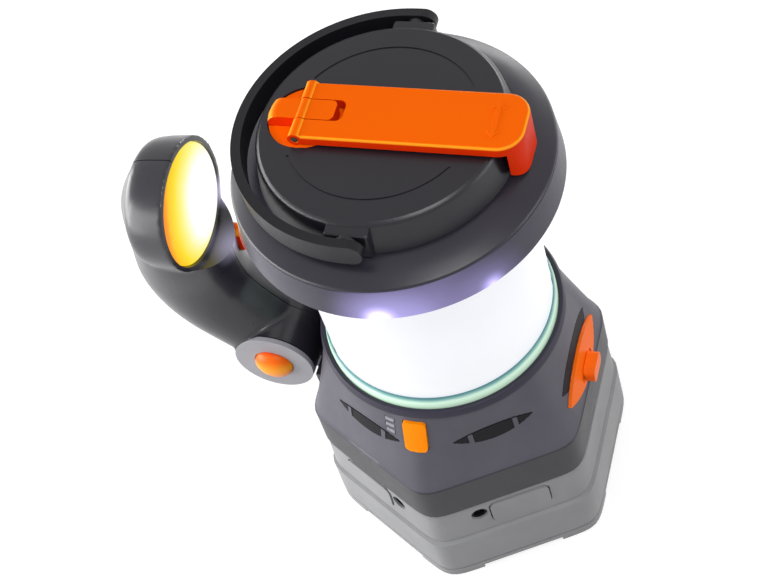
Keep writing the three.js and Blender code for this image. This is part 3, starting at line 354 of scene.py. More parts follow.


# Moulded plastic: fine grain, uneven sheen and faint handling marks. With a side colour, upright
# faces take it and slanted ones the bevel's, as painted shade and painted highlight. Below a
# height, the colour given with it takes over.
def plastic(name, colour, rough, grain, spread, specular=0.35, coat=0.0, side=None, bevel=None,
            below=None):
    material, tree, shader = new_material(name)
    place = node(tree, "TexCoord").outputs
    cloud = noise(tree, place["Object"], Scale=38, Detail=4, Roughness=0.55)
    fine = noise(tree, place["Object"], Scale=2600, Detail=3, Roughness=0.6)
    marks = noise(tree, place["Object"], Scale=140, Detail=6, Roughness=0.7, Distortion=0.8)
    base = linear(colour)
    darker = tuple(v * (1 - spread) for v in base)
    paler = tuple(min(v * (1 + spread), 1) for v in base)
    body = mottled(tree, cloud, darker, paler)
    # Painted shade and painted highlight: upright faces take the side colour, slanted ones the
    # bevel's
    if side:
        flatness = calculated(tree, "ABSOLUTE", up_axis(tree, place["Normal"]))
        painted_bevel_light = linear(bevel)
        painted_facing_light = ramp(tree, flatness, (UPRIGHT, linear(side)), (SLANT_LOW, painted_bevel_light),
                     (SLANT_HIGH, painted_bevel_light), (LEVEL, base))
        body = node(tree, "MixRGB", {
            "Fac": PAINTED_LIGHT_SHARE, "Color1": body, "Color2": painted_facing_light}).outputs["Color"]
    if below:
        height, under = below
        level = mapped(tree, up_axis(tree, place["Object"]), (height - EDGE_BLUR) * MM,
                       (height + EDGE_BLUR) * MM)
        body = node(tree, "MixRGB", {
            "Fac": level, "Color1": (*linear(under), 1), "Color2": body}).outputs["Color"]
    feed(tree, shader, {
        "Base Color": body,
        "Roughness": mapped(tree, marks, 0, 1, max(rough - SMOOTHER, SMOOTHEST), rough + ROUGHER),
        "Normal": bump(tree, fine, grain, GRAIN_DEPTH),
        "Specular IOR Level": specular,
        "Coat Weight": coat,
        "Coat Roughness": COAT_ROUGHNESS,
    })
    return material


# Light from a lamp beside a plastic, spilling over it; each spot has a place, a reach, a strength
# and how steeply it fades
def spill(material, colour, *spots):
    tree = material.node_tree
    place = node(tree, "TexCoord").outputs["Object"]
    total = 0
    for spot, reach, strength, fade in spots:
        away = vector(tree, "DISTANCE", "Value", place, tuple(v * MM for v in spot))
        near = mapped(tree, away, 0, reach * MM, 1, 0)
        light = calculated(tree, "MULTIPLY", calculated(tree, "POWER", near, fade), strength)
        total = calculated(tree, "ADD", total, light) if total else light
    feed(tree, tree.nodes["Principled BSDF"], {
        "Emission Color": (*linear(colour), 1), "Emission Strength": total})
    return material


STREAK_STRETCH, STREAK_SHADE, STREAK_DEPTH = (40, 40, 900), 0.86, 0.00004
STREAK_SMOOTHER, STREAK_ROUGHER, STREAK_GRAIN = 0.08, 0.1, 0.05


def metal(name, colour, rough=0.28):
    material, tree, shader = new_material(name)
    stretched = node(tree, "Mapping", {
        "Vector": node(tree, "TexCoord").outputs["Object"], "Scale": STREAK_STRETCH})
    streak = noise(tree, stretched.outputs["Vector"], Scale=3, Detail=5)
    base = linear(colour)
    feed(tree, shader, {
        "Base Color": mottled(tree, streak, tuple(v * STREAK_SHADE for v in base), base),
        "Roughness": mapped(tree, streak, 0, 1, rough - STREAK_SMOOTHER, rough + STREAK_ROUGHER),
        "Normal": bump(tree, streak, STREAK_GRAIN, STREAK_DEPTH),
        "Metallic": 1,
    })
    return material


def glow(tree, source, stops):
    return ramp(tree, source, *[(position, linear(colour)) for position, colour in stops])


LIT_HAZE, LIT_ROUGHNESS, BODY_SHADE = 0.12, 0.3, 0.92


# A lit surface whose light runs through the stops over its height
def lit(name, strength, low, high, stops, body=None):
    material, tree, shader = new_material(name)
    place = node(tree, "TexCoord").outputs["Object"]
    haze = noise(tree, place, Scale=60, Detail=2)
    level = mapped(tree, up_axis(tree, place), low * MM, high * MM)
    light = glow(tree, calculated(tree, "MULTIPLY_ADD", haze, LIT_HAZE, level), stops)
    own = light
    if body:
        base = linear(body)
        own = mottled(tree, haze, tuple(v * BODY_SHADE for v in base), base)
    feed(tree, shader, {
        "Base Color": own,
        "Emission Color": light,
        "Emission Strength": strength,
        "Roughness": LIT_ROUGHNESS,
    })
    return material


RING_HAZE, RING_SPECULAR, RING_ROUGHNESS = 0.1, 0.1, 0.2
RING_DARK, RING_PALE = (0.02, 0.02, 0.02), (0.05, 0.05, 0.04)


# A surface across the X axis whose glow runs outwards from a centre through the stops
def rings(name, centre, radius, stops):
    material, tree, shader = new_material(name)
    place = node(tree, "TexCoord").outputs["Object"]
    haze = noise(tree, place, Scale=70, Detail=2)
    offset = vector(tree, "SUBTRACT", "Vector", place, tuple(v * MM for v in centre))
    reach = vector(tree, "LENGTH", "Value", vector(tree, "MULTIPLY", "Vector", offset, (0, 1, 1)))
    share = mapped(tree, reach, 0, radius * MM)
    feed(tree, shader, {
        "Base Color": mottled(tree, haze, RING_DARK, RING_PALE),
        "Emission Color": glow(
            tree, calculated(tree, "MULTIPLY_ADD", haze, RING_HAZE, share), stops),
        "Emission Strength": 1,
        "Specular IOR Level": RING_SPECULAR,
        "Roughness": RING_ROUGHNESS,
    })
    return material


# Plastics: colour, roughness, grain, spread of the colour, specular level, coat
dark = plastic("dark plastic", (28, 26, 33), 0.31, 0.15, 0.08, 0.36)
handle_dark = plastic("handle plastic", (20, 19, 24), 0.38, 0.12, 0.08, 0.24)
rim_dark = plastic("rim plastic", (40, 38, 47), 0.3, 0.12, 0.06, 0.34)
grey = plastic("housing grey plastic", (80, 78, 88), 0.42, 0.25, 0.07, 0.3)
upper_grey = plastic("upper housing plastic", (80, 78, 88), 0.42, 0.25, 0.07, 0.3,
                     below=(71.4, (38, 36, 42)))
pale = plastic("pale grey plastic", (138, 138, 140), 0.45, 0.25, 0.06, 0.3)
# Deep red on the orange's upright faces is painted shade, pale amber on its bevels a painted
# highlight
orange = plastic("orange plastic", (255, 104, 0), 0.38, 0.10, 0.04, 0.06,
                 side=(214, 24, 1), bevel=(255, 168, 36))
# A paler copy of the orange for the power button; the paleness is painted light
lit_orange = plastic("lit orange plastic", (255, 140, 0), 0.36, 0.10, 0.04, 0.1)
switch_orange = plastic("switch orange", (255, 112, 20), 0.36, 0.10, 0.04, 0.1)
# Pale yellow on the dome's upright faces is a painted highlight, the lighter orange on its slanted
# faces a weaker one
dome_orange = plastic("dome orange", (255, 86, 14), 0.32, 0.08, 0.04, 0.2,
                      side=(255, 168, 22), bevel=(255, 112, 12))
rubber = plastic("black rubber", (13, 12, 17), 0.55, 0.35, 0.12, 0.15)
# Black for the power sockets, and for the painted shadow above the switch leaf
socket_and_shadow_black = plastic("socket and painted shadow black", (14, 13, 19), 0.5, 0.3, 0.1, 0.15)
collar_dark = plastic("collar plastic", (44, 42, 56), 0.4, 0.2, 0.06, 0.25)
white = plastic("white plastic", (228, 228, 226), 0.35, 0.08, 0.03)
board = plastic("board green", (30, 105, 60), 0.4, 0.1, 0.15)
disc_grey = plastic("end disc grey", (156, 156, 162), 0.35, 0.12, 0.05, 0.3)
skirt_dark = spill(
    plastic("skirt plastic", (58, 55, 68), 0.34, 0.12, 0.06, 0.25), (188, 178, 250),
    ((8.7, -60.9, 196), 8.8, 5.0, 2.6), ((8.7, -60.9, 196), 22, 0.8, 1.5),
    ((45.2, -42, 196), 7.5, 1.6, 2.5), ((45.2, -42, 196), 18, 0.4, 1.6),
    ((24, -57, 195), 34, 0.56, 1.4))
torch_dark = spill(
    plastic("torch plastic", (34, 32, 40), 0.29, 0.06, 0.07, 0.5, 0.1), (222, 216, 255),
    ((-84, 1, 147), 13, 0.6, 1.6), ((-91, 21, 153), 9, 0.8, 1.5))

# Metals: colour, roughness
steel = metal("steel", (188, 190, 194))
copper = metal("copper", (186, 112, 66), 0.35)

# Lights: strength, the heights or the centre and radius that the glow runs between, its stops
tube_light = lit("lit tube", 0.68, 108, 198, [
    (0, (222, 236, 242)), (0.14, (250, 252, 255)), (0.8, (250, 250, 255)), (1, (226, 222, 250)),
], body=(146, 148, 153))
led_light = lit("lit lamp", 6.0, 0, 1, [(0, (250, 250, 255)), (1, (255, 255, 255))])
green = lit("green ring", 0.28, 110, 118.4, [
    (0, (136, 178, 168)), (0.3, (188, 218, 192)), (0.76, (196, 226, 206)), (0.9, (112, 162, 156)),
    (1, (62, 112, 118))])
hint = lit("indicator", 0.05, 96, 106, [(0, (126, 124, 136)), (1, (142, 140, 152))])
bowl_light = rings("lit reflector", (-92.5, 0, 170), 24.6, [
    (0, (255, 252, 240)), (0.5, (255, 226, 110)), (1, (255, 150, 20))])
lens_light = rings("lit lens", (-92.5, 7.5, 166), 34, [
    (0, (255, 255, 255)), (0.52, (255, 255, 250)), (0.7, (255, 244, 140)), (0.83, (255, 226, 44)),
    (0.94, (255, 200, 14)), (1, (255, 146, 12))])


# A piece of its own on a body; where it replaces a solid, it is named after it
def show(item, name, material, body="lantern", replaced=None):
    item.name = name
    item.data.name = name
    item.data.materials.clear()
    item.data.materials.append(material)
    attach(item, body)
    if replaced:
        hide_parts(replaced)


def dress(item, solid, material, body="lantern"):
    show(item, f"{solid}_looks", material, body, solid)


# Solids that keep their shape
kept = {
    dark: ["bottom_cover", "battery_tray", "base_deck", "cap_floor", "gear_frame",
           "handle_pin_right", "handle_pin_left"],
    board: ["main_board"],
    white: ["reflector_cone", "wire_column", "light_board", "drive_gear", "compound_gear",
            "torch_lamp"],
    copper: ["dynamo_rotor"],
    steel: ["dynamo_body", "fold_pin", "torch_pivot_pin", "torch_battery",
            "port_socket_right", "port_socket_left", "cover_screw_1", "cover_screw_2",
            "cover_screw_3", "battery_cell_1", "battery_cell_2", "battery_cell_3"],
}
for material, names in kept.items():
    for name in names:
        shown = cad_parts[name]
        shown.data.materials.clear()
        shown.data.materials.append(material)


# Cap skirt and rim
SEAT, TUBE_TOP = 46.7, 199
RIM_OUTER, RIM_INNER, RIM_EDGE, RIM_RISE, RIM_SWELL, RIM_STEPS = 59.7, 48.1, 211, 4.5, 0.5, 8
skirt = lathe([
    (SEAT, 197), (59.3, 197), (60.7, 196), (61.7, 196), (60.2, 209.4), (57.8, 209.4),
    (57.8, TUBE_TOP), (SEAT, TUBE_TOP), (SEAT, 197)])
dress(shade(soften(skirt, 0.35)), "cap_skirt", skirt_dark)
rim = [(57.8, 209.7), (60.1, 209.7), (60.2, 210.3), (RIM_OUTER, RIM_EDGE)]
for k in range(1, RIM_STEPS + 1):
    t = k / RIM_STEPS
    rim.append((RIM_OUTER + (RIM_INNER - RIM_OUTER) * t,
                RIM_EDGE + RIM_RISE * t + RIM_SWELL * math.sin(math.pi * t)))
rim += [(41, 215.5), (41, 213.1), (RIM_INNER, 213.1), (57.8, 209.7)]
dress(shade(soften(lathe(rim), 0.3, 3, 25)), "cap_rim", rim_dark)

# Top disc with the ears for the handle, the crank's pocket and channel, and two fine arcs
HUB_X, ABOVE = -28, 240
DISC_FOOT, DISC_TOP, EAR_INNER, BAND_INNER, BAND_OUTER = 215.8, 229, 43.3, 51.2, 54.9
HANDLE_AXIS, HANDLE_BORE = 223.9, 2.1
CHANNEL_END, CHANNEL_HALF = 57, 14.1
ARC_OUTER, ARC_INNER, ARC_HALF, ARC_STEPS = 35.35, 34.45, 59, 60
disc = lathe([
    (0, 226.6), (43, 226.6), (45.7, DISC_FOOT), (RIM_INNER, DISC_FOOT), (46, 227.2), (45.2, 228.4),
    (44.2, DISC_TOP), (0, DISC_TOP)])
boss = move(rod(16.7, 222.9, DISC_TOP), HUB_X)
ears = common(pipe(EAR_INNER, BAND_INNER, DISC_FOOT, DISC_TOP),
              soften(block(-8, 8, -49.5, 49.5, DISC_FOOT, 227.9), 1.2))
knobs = cut(crosswise(4, 50.6, HANDLE_AXIS), rod(EAR_INNER, 200, 226, STEPS))
channel = [(HUB_X, -CHANNEL_HALF), (CHANNEL_END, -CHANNEL_HALF), (CHANNEL_END, CHANNEL_HALF),
           (HUB_X, CHANNEL_HALF)]
tools = [move(rod(14.3, 225.3, ABOVE, 96), HUB_X), move(rod(3.8, 200, ABOVE), HUB_X),
         raised(channel, 228.5, ABOVE), crosswise(HANDLE_BORE, 60, HANDLE_AXIS)]
for middle in (90, -90):
    outer, inner = (arc(radius, middle - ARC_HALF, 2 * ARC_HALF, ARC_STEPS)
                    for radius in (ARC_OUTER, ARC_INNER))
    tools.append(raised(outer + inner[::-1], 228.65, 231))
disc = soften(cut(join(disc, boss, ears, knobs), *tools), 0.3, 2, 30)
dress(shade(disc, 35), "top_disc", dark)

# Carry handle: a flat band with rounded edges and ends
BAND_LOW, BAND_HIGH, BAND_END, BAND_STEPS, BEYOND = 219.2, 228.6, 7, 96, 90
END_X, END_RADIUS, PIN_REACH = 2.3, 4.7, 53.9
outline = [(BAND_END, BAND_INNER), (BAND_END, BAND_OUTER), *arc(BAND_OUTER, 90, 180, BAND_STEPS),
           (BAND_END, -BAND_OUTER), (BAND_END, -BAND_INNER),
           *arc(BAND_INNER, 90, 180, BAND_STEPS)[::-1]]
ends = join(crosswise(END_RADIUS, BEYOND, HANDLE_AXIS, END_X, 96),
            block(-BEYOND, END_X, -BEYOND, BEYOND, BAND_LOW, BAND_HIGH))
band = cut(common(raised(outline, BAND_LOW, BAND_HIGH), ends),
           crosswise(HANDLE_BORE, PIN_REACH, HANDLE_AXIS))
dress(shade(soften(band, 1.0, 4, 40), 35), "carry_handle", handle_dark,
      "carry_handle")

# Crank hub, with the tongue that the arm folds over
ARM_TOP, FOLD_AXIS, FOLD_BORE, HUB_TOP = 233.4, 231.35, 1.5, 228.3
TONGUE_HALF, CROWN_FOOT, CROWN_RADIUS = 4.5, 225, 13.98
hub = join(rod(14, 225.6, HUB_TOP, 96), rod(3.5, 217.4, HUB_TOP), rod(2, 205.3, 218.4))
crown = lathe([
    (0, CROWN_FOOT), (CROWN_RADIUS, CROWN_FOOT), (CROWN_RADIUS, 229), (13.7, 230.6), (12.8, 232),
    (11.3, 233), (9.5, ARM_TOP), (0, ARM_TOP)], 96)
tongue = raised(rounded(-28, 12.2, -TONGUE_HALF, TONGUE_HALF, 2.2), 226.2, ARM_TOP)
tongue = common(tongue, join(crown, block(0.5, 13.9, -6, 6, CROWN_FOOT, ARM_TOP)))
hub = cut(join(hub, tongue, crosswise(2.65, TONGUE_HALF, FOLD_AXIS)),
          crosswise(FOLD_BORE, 20, FOLD_AXIS))
dress(move(shade(soften(hub, 0.45, 3, 30), 35), HUB_X), "crank_hub", orange,
      "crank_hub")

# Crank arm with its turned-down grip and a plain raised double arrow; X runs from the fold
ARM_REACH, ARM_HALF, ARM_CORNER, GRIP_THICK, GRIP_LOW = 81.7, 12.8, 9, 5.2, 216.1
ARM_EDGE = [(0, 229.3), (0, 232.2), (0.2, 232.8), (0.6, 233.25), (1.2, ARM_TOP)]
ARROW_X, ARROW_HALF, ARROW_HEAD, ARROW_LINE, ARROW_TOP = 70.7, 7.75, 2.5, 0.9, 233.74


# Set in from its edge, for the rounding of the top
def arm_line(inset=0):
    half = ARM_HALF - inset
    end = rounded(40, ARM_REACH - inset, -half, half, ARM_CORNER - inset, 12)
    return [(0, -half), *[p for p in end if p[0] > 60], (0, half)]


arm = skin([[(x, y, height) for x, y in arm_line(inset)] for inset, height in ARM_EDGE])
grip = standing(rounded(-ARM_HALF, ARM_HALF, GRIP_LOW, ARM_TOP, 6, 8), ARM_REACH - GRIP_THICK,
                ARM_REACH)
grip = common(grip, raised(arm_line(), 216, 232))
arm = join(arm, grip, crosswise(2.7, ARM_HALF, FOLD_AXIS))
arm = cut(arm, raised(rounded(-8, 15.6, -4.8, 4.8, 2.6), 220, ABOVE),
          crosswise(FOLD_BORE, 30, FOLD_AXIS))
arm = soften(arm, 0.8, 4, 35)
barb = [(ARROW_HEAD, ARROW_HALF - ARROW_HEAD), (ARROW_HEAD - 0.7, ARROW_HALF - ARROW_HEAD - 0.5),
        (ARROW_LINE, ARROW_HALF - 1.7)]
arrow = [(0, ARROW_HALF), *[(-x, y) for x, y in barb], *[(-x, -y) for x, y in barb[::-1]],
         (0, -ARROW_HALF), *[(x, -y) for x, y in barb], *barb[::-1]]
arrow = soften(raised(arrow, 233.2, ARROW_TOP), 0.18, 2, 30)
arm = shade(join(arm, move(arrow, ARROW_X)), 40)
dress(move(arm, HUB_X), "crank_arm", orange, "crank_arm")

# Lens tube and the rings at its foot
TUBE_FOOT, TUBE_INNER, TUBE_OUTER = 108.3, 44.2, 46.4
dress(shade(pipe(TUBE_INNER, TUBE_OUTER, TUBE_FOOT, TUBE_TOP)), "lens_tube", tube_light)
ring = lathe([
    (SEAT, 111.1), (48.2, 111.1), (48.2, 113.5), (47.9, 115.4), (47.3, 117.3), (46.9, 118.2),
    (SEAT, 118.2), (SEAT, 111.1)])
dress(shade(soften(ring, 0.15, 2)), "glow_ring", green)
collar = lathe([
    (SEAT, TUBE_FOOT), (50.2, TUBE_FOOT), (51.2, 109.3), (51.1, 110.6), (50.2, 112.8),
    (48.5, 112.8), (48.5, 110.8), (SEAT, 110.8), (SEAT, TUBE_FOOT)])
dress(shade(soften(collar, 0.3, 3, 25)), "collar", collar_dark)

# Housings: rings of (height, distance of the flats); the upper one's shoulder ends round
UPPER_RINGS = [(50.3, 57.5), (51.3, 58.5), (71, 58.15), (72, 57.3)]
LOWER_RINGS = [(5.3, 60.2), (6.3, 60.7), (27.6, 60.2), (28.2, 58.4), (29.2, 58.2), (30, 59),
               (47.4, 58.1), (50, 56.5)]
SHOULDER_FLAT, SHOULDER_RADIUS, SHOULDER_LOW, SHOULDER_TOP = 57.8, 50.2, 72, 108
UPPER_INNER, LOWER_INNER, FAR = 56.1, 54.3, 117
FRONT_FACES = (("right", -60), ("left", -120))


def upper_skin(margin=0):
    return skin([*[hex_ring(height, flat + margin) for height, flat in UPPER_RINGS],
                 hex_ring(SHOULDER_TOP, SHOULDER_FLAT, SHOULDER_RADIUS + margin, 1)])


def lower_skin(margin=0):
    return skin([hex_ring(height, flat + margin) for height, flat in LOWER_RINGS])


# What lies between two distances from the housing's skin
def upper_layer(outer, inner):
    return cut(upper_skin(outer), upper_skin(inner))


def face(item, turned):
    return turn(item, math.radians(turned))


def leaf_form(length, width, height, margin, centre=0):
    return standing(leaf(length + 2 * margin, width + 2 * margin, height, centre), 0, FAR)


BUTTON_HALF, BUTTON_LOW, BUTTON_HIGH, BUTTON_CORNER, BUTTON_INNER = 4.8, 92.5, 106, 1.6, 42.2


def button_form(margin, inner=BUTTON_INNER):
    half = BUTTON_HALF + margin
    line = rounded(-half, half, BUTTON_LOW - margin, BUTTON_HIGH + margin, BUTTON_CORNER)
    return face(standing(line, inner, FAR), -90)


def cover_form(turned, margin):
    return face(leaf_form(34, 7, 94, margin, 3.5), turned)


def plate_form(margin):
    return leaf_form(46, 15, 82, margin)


# Painted shadow: a dark sheet set in above the switch leaf, showing as a thin curved band
def painted_shadow_form(margin):
    return cut(leaf_form(44, 15, 88.6, margin), plate_form(0.5 - margin))


LIGHT_LOW, LIGHT_PITCH, LIGHT_TALL, LIGHT_HALF, LIGHT_TURN = 97.5, 3, 1.6, 2, -102


def light_form(i, margin):
    low = LIGHT_LOW + LIGHT_PITCH * i
    half = LIGHT_HALF + margin
    return face(block(0, FAR, -half, half, low - margin, low + LIGHT_TALL + margin), LIGHT_TURN)


# The button's opening reaches further in than the button does when it is pressed
PRESSED_INNER = 38
hollow = skin([hex_ring(-2, UPPER_INNER), hex_ring(69.6, UPPER_INNER),
               hex_ring(105.6, SHOULDER_FLAT, 47.8, 1)])
tools = [hollow, rod(42.2, 100, 112, 96), button_form(GAP, PRESSED_INNER), plate_form(GAP),
         *[cover_form(turned, GAP) for name, turned in FRONT_FACES],
         *[light_form(i, GAP) for i in range(3)], common(painted_shadow_form(0.1), upper_layer(3, -0.9))]
upper = soften(cut(upper_skin(), *tools), 0.45, 3, 32)
dress(shade(upper, 28), "upper_housing", upper_grey)

# Power button, port covers with their ribs, and light bars
button = soften(common(button_form(0), upper_skin(1)), 0.5, 4, 40)
dress(shade(button, 40), "power_button", lit_orange, "power_button")
for name, turned in FRONT_FACES:
    cover_name = f"port_cover_{name}"
    cover = soften(common(cover_form(turned, 0), upper_layer(0.2, -1.6)), 0.3, 2, 40)
    dress(shade(cover, 40), cover_name, rubber, cover_name)
    for mark, across in (("a", -6.2), ("b", 12.8)):
        rib = face(block(0, FAR, across - 1, across + 1, 86, 102), turned)
        rib = soften(common(rib, cover_form(turned, 0.1), upper_layer(0.5, 0.25)), 0.1, 2, 40)
        show(shade(rib, 40), f"{cover_name}_rib_{mark}", grey, cover_name)
for i in range(3):
    bar = soften(common(light_form(i, 0), upper_layer(0.2, -2.4)), 0.2, 2, 40)
    dress(shade(bar, 40), f"indicator_light_{i + 1}", hint)

# Slide switch: leaf, its painted shadow and knob
KNOB_HEIGHT, LEAF_PROUD, KNOB_RISE = 78.5, 1.2, 4


def knob_form(length, width, low, high, radius):
    line = rounded(-length / 2, length / 2, -width / 2, width / 2, radius)
    return move(standing(line, low, high), 0, 0, KNOB_HEIGHT)


plate = common(upper_layer(LEAF_PROUD, -4), plate_form(0))
plate = soften(cut(plate, knob_form(16.6, 3, 0, FAR, 1)), 0.4, 3, 40)
dress(shade(plate, 40), "switch_leaf", switch_orange)
# The dark sheet above the leaf is painted shadow
shadow_sheet = soften(common(painted_shadow_form(0), upper_layer(0.1, -0.8)), 0.15, 2, 40)
show(shade(shadow_sheet, 40), "switch_painted_shadow", socket_and_shadow_black)
slope = (SHOULDER_FLAT - SHOULDER_RADIUS) / (SHOULDER_TOP - SHOULDER_LOW)
knob_top = SHOULDER_FLAT - slope * (KNOB_HEIGHT - SHOULDER_LOW) + LEAF_PROUD + KNOB_RISE
knob = cut(knob_form(12, 8, 0, knob_top, 8 / 3), upper_skin(1.5))
knob = soften(join(knob, knob_form(6, 2.4, knob_top - 9, knob_top - 2, 0.8)), 0.7, 4, 45)
dress(shade(knob, 40), "switch_knob", switch_orange, "switch_knob")


# Lower housing with a panel and a socket in each front face, mirrored from one to the other
PANEL_SHIFT, PANEL_HALF, PANEL_LOW, PANEL_HIGH, PANEL_CORNER = 5, 13, 34.5, 47.5, 3
PANEL_INNER, PANEL_OUTER = 56.1, 60.7
SOCKET_SHIFT, SOCKET_HEIGHT = 13, 43


def mirrored(turned):
    return 1 if turned > -90 else -1


def panel_form(turned, margin):
    middle = mirrored(turned) * PANEL_SHIFT
    line = rounded(middle - PANEL_HALF - margin, middle + PANEL_HALF + margin, PANEL_LOW - margin,
                   PANEL_HIGH + margin, PANEL_CORNER)
    return face(standing(line, PANEL_INNER - margin, PANEL_OUTER), turned)


def socket_form(turned, radius, low, high):
    item = along_x(rod(radius, low, high, 48))
    return face(move(item, 0, -mirrored(turned) * SOCKET_SHIFT, SOCKET_HEIGHT), turned)


tools = [skin([hex_ring(-2, LOWER_INNER), hex_ring(60, LOWER_INNER)])]
for name, turned in FRONT_FACES:
    tools += [socket_form(turned, 3.7, 50, 63), panel_form(turned, 0.5)]
lower = soften(cut(lower_skin(), *tools), 0.4, 3, 30)
dress(shade(lower, 28), "lower_housing", pale)
for name, turned in FRONT_FACES:
    panel = soften(common(panel_form(turned, 0), lower_skin(0.6)), 0.5, 3, 40)
    dress(shade(panel, 40), f"front_panel_{name}", pale)
    socket = cut(socket_form(turned, 3.4, 48.5, 57.5), socket_form(turned, 2.6, 49.6, 60))
    socket = join(socket, socket_form(turned, 0.8, 48.5, 56.4))
    dress(shade(soften(socket, 0.2, 2, 40), 40), f"power_socket_{name}", socket_and_shadow_black)

# Foot ring with an arch under each face
FOOT_FLAT, FOOT_INNER, FOOT_TOP, ARCH_SHARE, ARCH_TOP = 60.7, 50.7, 5, 0.52, 2.6
foot = cut(skin([hex_ring(0, 60.2), hex_ring(0.5, FOOT_FLAT), hex_ring(FOOT_TOP, FOOT_FLAT)]),
           skin([hex_ring(-2, FOOT_INNER), hex_ring(7, FOOT_INNER)]))
wide = FOOT_FLAT * math.tan(math.pi / HEX_SIDES) * ARCH_SHARE
arches = [face(block(30, 120, -wide, wide, -2, ARCH_TOP), 60 * i) for i in range(HEX_SIDES)]
dress(shade(soften(cut(foot, *arches), 0.4, 3, 35)), "foot_ring", pale)

# Torch bracket
PIVOT_X, PIVOT_Z, PIVOT_BORE, TAB_HALF = -75.5, 85, 3.3, 5


def on_pivot(radius, low, high, steps=96):
    return move(along_y(rod(radius, low, high, steps)), PIVOT_X, 0, PIVOT_Z)


web = [(PIVOT_X, PIVOT_Z - 8.7), (PIVOT_X + 3, PIVOT_Z - 15), (-58.8, 53), (-58.8, 70)]
bracket = join(block(-61.8, -58.8, -14, 14, 53, 70), on_pivot(17.4, -TAB_HALF, TAB_HALF),
               turn(raised(web, -TAB_HALF, TAB_HALF), QUARTER, "X"))
bracket = soften(cut(bracket, on_pivot(PIVOT_BORE, -20, 20, 32)), 0.6, 3, 35)
dress(shade(bracket, 35), "torch_bracket", grey)


# Smooth run through points, each given as a tuple of the same length
def curve(points, count):
    out = []
    for i in range(len(points) - 1):
        near = [points[min(max(i + k, 0), len(points) - 1)] for k in (-1, 0, 1, 2)]
        for k in range(count):
            t = k / count
            out.append(tuple(
                0.5 * (2 * q + (r - p) * t + (2 * p - 5 * q + 4 * r - s) * t * t
                       + (3 * q - p - 3 * r + s) * t ** 3)
                for p, q, r, s in zip(*near)))
    return out + [points[-1]]


# Torch body: neck, head and pivot barrel melted into one skin. A station of the neck gives its
# place and its reach along and across; a share gives depth and radius of the head's back.
HEAD_X, HEAD_Z, HEAD_RADIUS, HEAD_DEPTH = -92.5, 170, 27.6, 29.5
BARREL_RADIUS, BARREL_HALF, WALL = 17.8, 19.6, 2.2
STATIONS = [(-102, 166, 20, 23), (-104, 150, 21, 22), (-106, 132, 22, 20.5), (-102, 115, 21, 19.6),
            (-91, 100, 18.5, 19.4), (-79, 88, 16.5, 19.4)]
SHARES = [(0, 1), (0.51, 0.935), (0.67, 0.74), (0.85, 0.46), (0.96, 0.22), (1, 0)]
NECK_STEPS, VOXEL, EASE_SHARE, EASE_ROUNDS = 72, 0.9, 0.5, 5


def torch_neck(margin):
    stations = curve(STATIONS, 6)
    levels = []
    for i, (x, z, along, across) in enumerate(stations):
        x0, z0 = stations[max(i - 1, 0)][:2]
        x1, z1 = stations[min(i + 1, len(stations) - 1)][:2]
        way = Vector((x1 - x0, 0, z1 - z0)).normalized()
        side = Vector((-way.z, 0, way.x))
        ring = []
        for k in range(NECK_STEPS):
            a = k * TAU / NECK_STEPS
            p = Vector((x, 0, z)) + side * ((along + margin) * math.cos(a))
            ring.append((p.x, (across + margin) * math.sin(a), p.z))
        levels.append(ring)
    return skin(levels)


def torch_head(margin, front=0):
    depth = HEAD_DEPTH + margin
    profile = [((HEAD_RADIUS + margin) * max(r, 0), depth * d) for d, r in curve(SHARES, 5)]
    outer = [p for p in profile[:-1] if p[0] > 0.5]
    profile = [(0, -front), (profile[0][0], -front), *outer, (0, depth)]
    return move(turn(lathe(profile, 96), -QUARTER, "Y"), HEAD_X, 0, HEAD_Z)


# A rod along the head's axis
def plug(radius, low, high, steps=96):
    return move(along_x(rod(radius, low, high, steps)), HEAD_X, 0, HEAD_Z)


PUSHER_LEFT, PUSHER_RIGHT, PUSHER_LOW, PUSHER_HIGH, PUSHER_CORNER = 6.5, 13.5, 129, 143, 3.2


def side_button_form(margin):
    line = rounded(PUSHER_LEFT - margin, PUSHER_RIGHT + margin, PUSHER_LOW - margin,
                   PUSHER_HIGH + margin, PUSHER_CORNER, 8)
    return standing(line, -106, 0)


def swollen(item, amount):
    copy = link(item.data.copy())
    step = copy.modifiers.new("swell", "DISPLACE")
    step.strength = amount * MM
    step.mid_level = 0
    return settle(copy)


body = join(torch_neck(0), torch_head(0), on_pivot(BARREL_RADIUS, -BARREL_HALF, BARREL_HALF))
step = body.modifiers.new("melt", "REMESH")
step.mode = "VOXEL"
step.voxel_size = VOXEL * MM
step = body.modifiers.new("ease", "SMOOTH")
step.factor = EASE_SHARE
step.iterations = EASE_ROUNDS
settle(body)

pusher = common(side_button_form(0), cut(swollen(body, 1.5), swollen(body, -4)))
dress(shade(soften(pusher, 0.5, 3, 45), 45), "torch_side_button", orange,
      "torch_side_button")

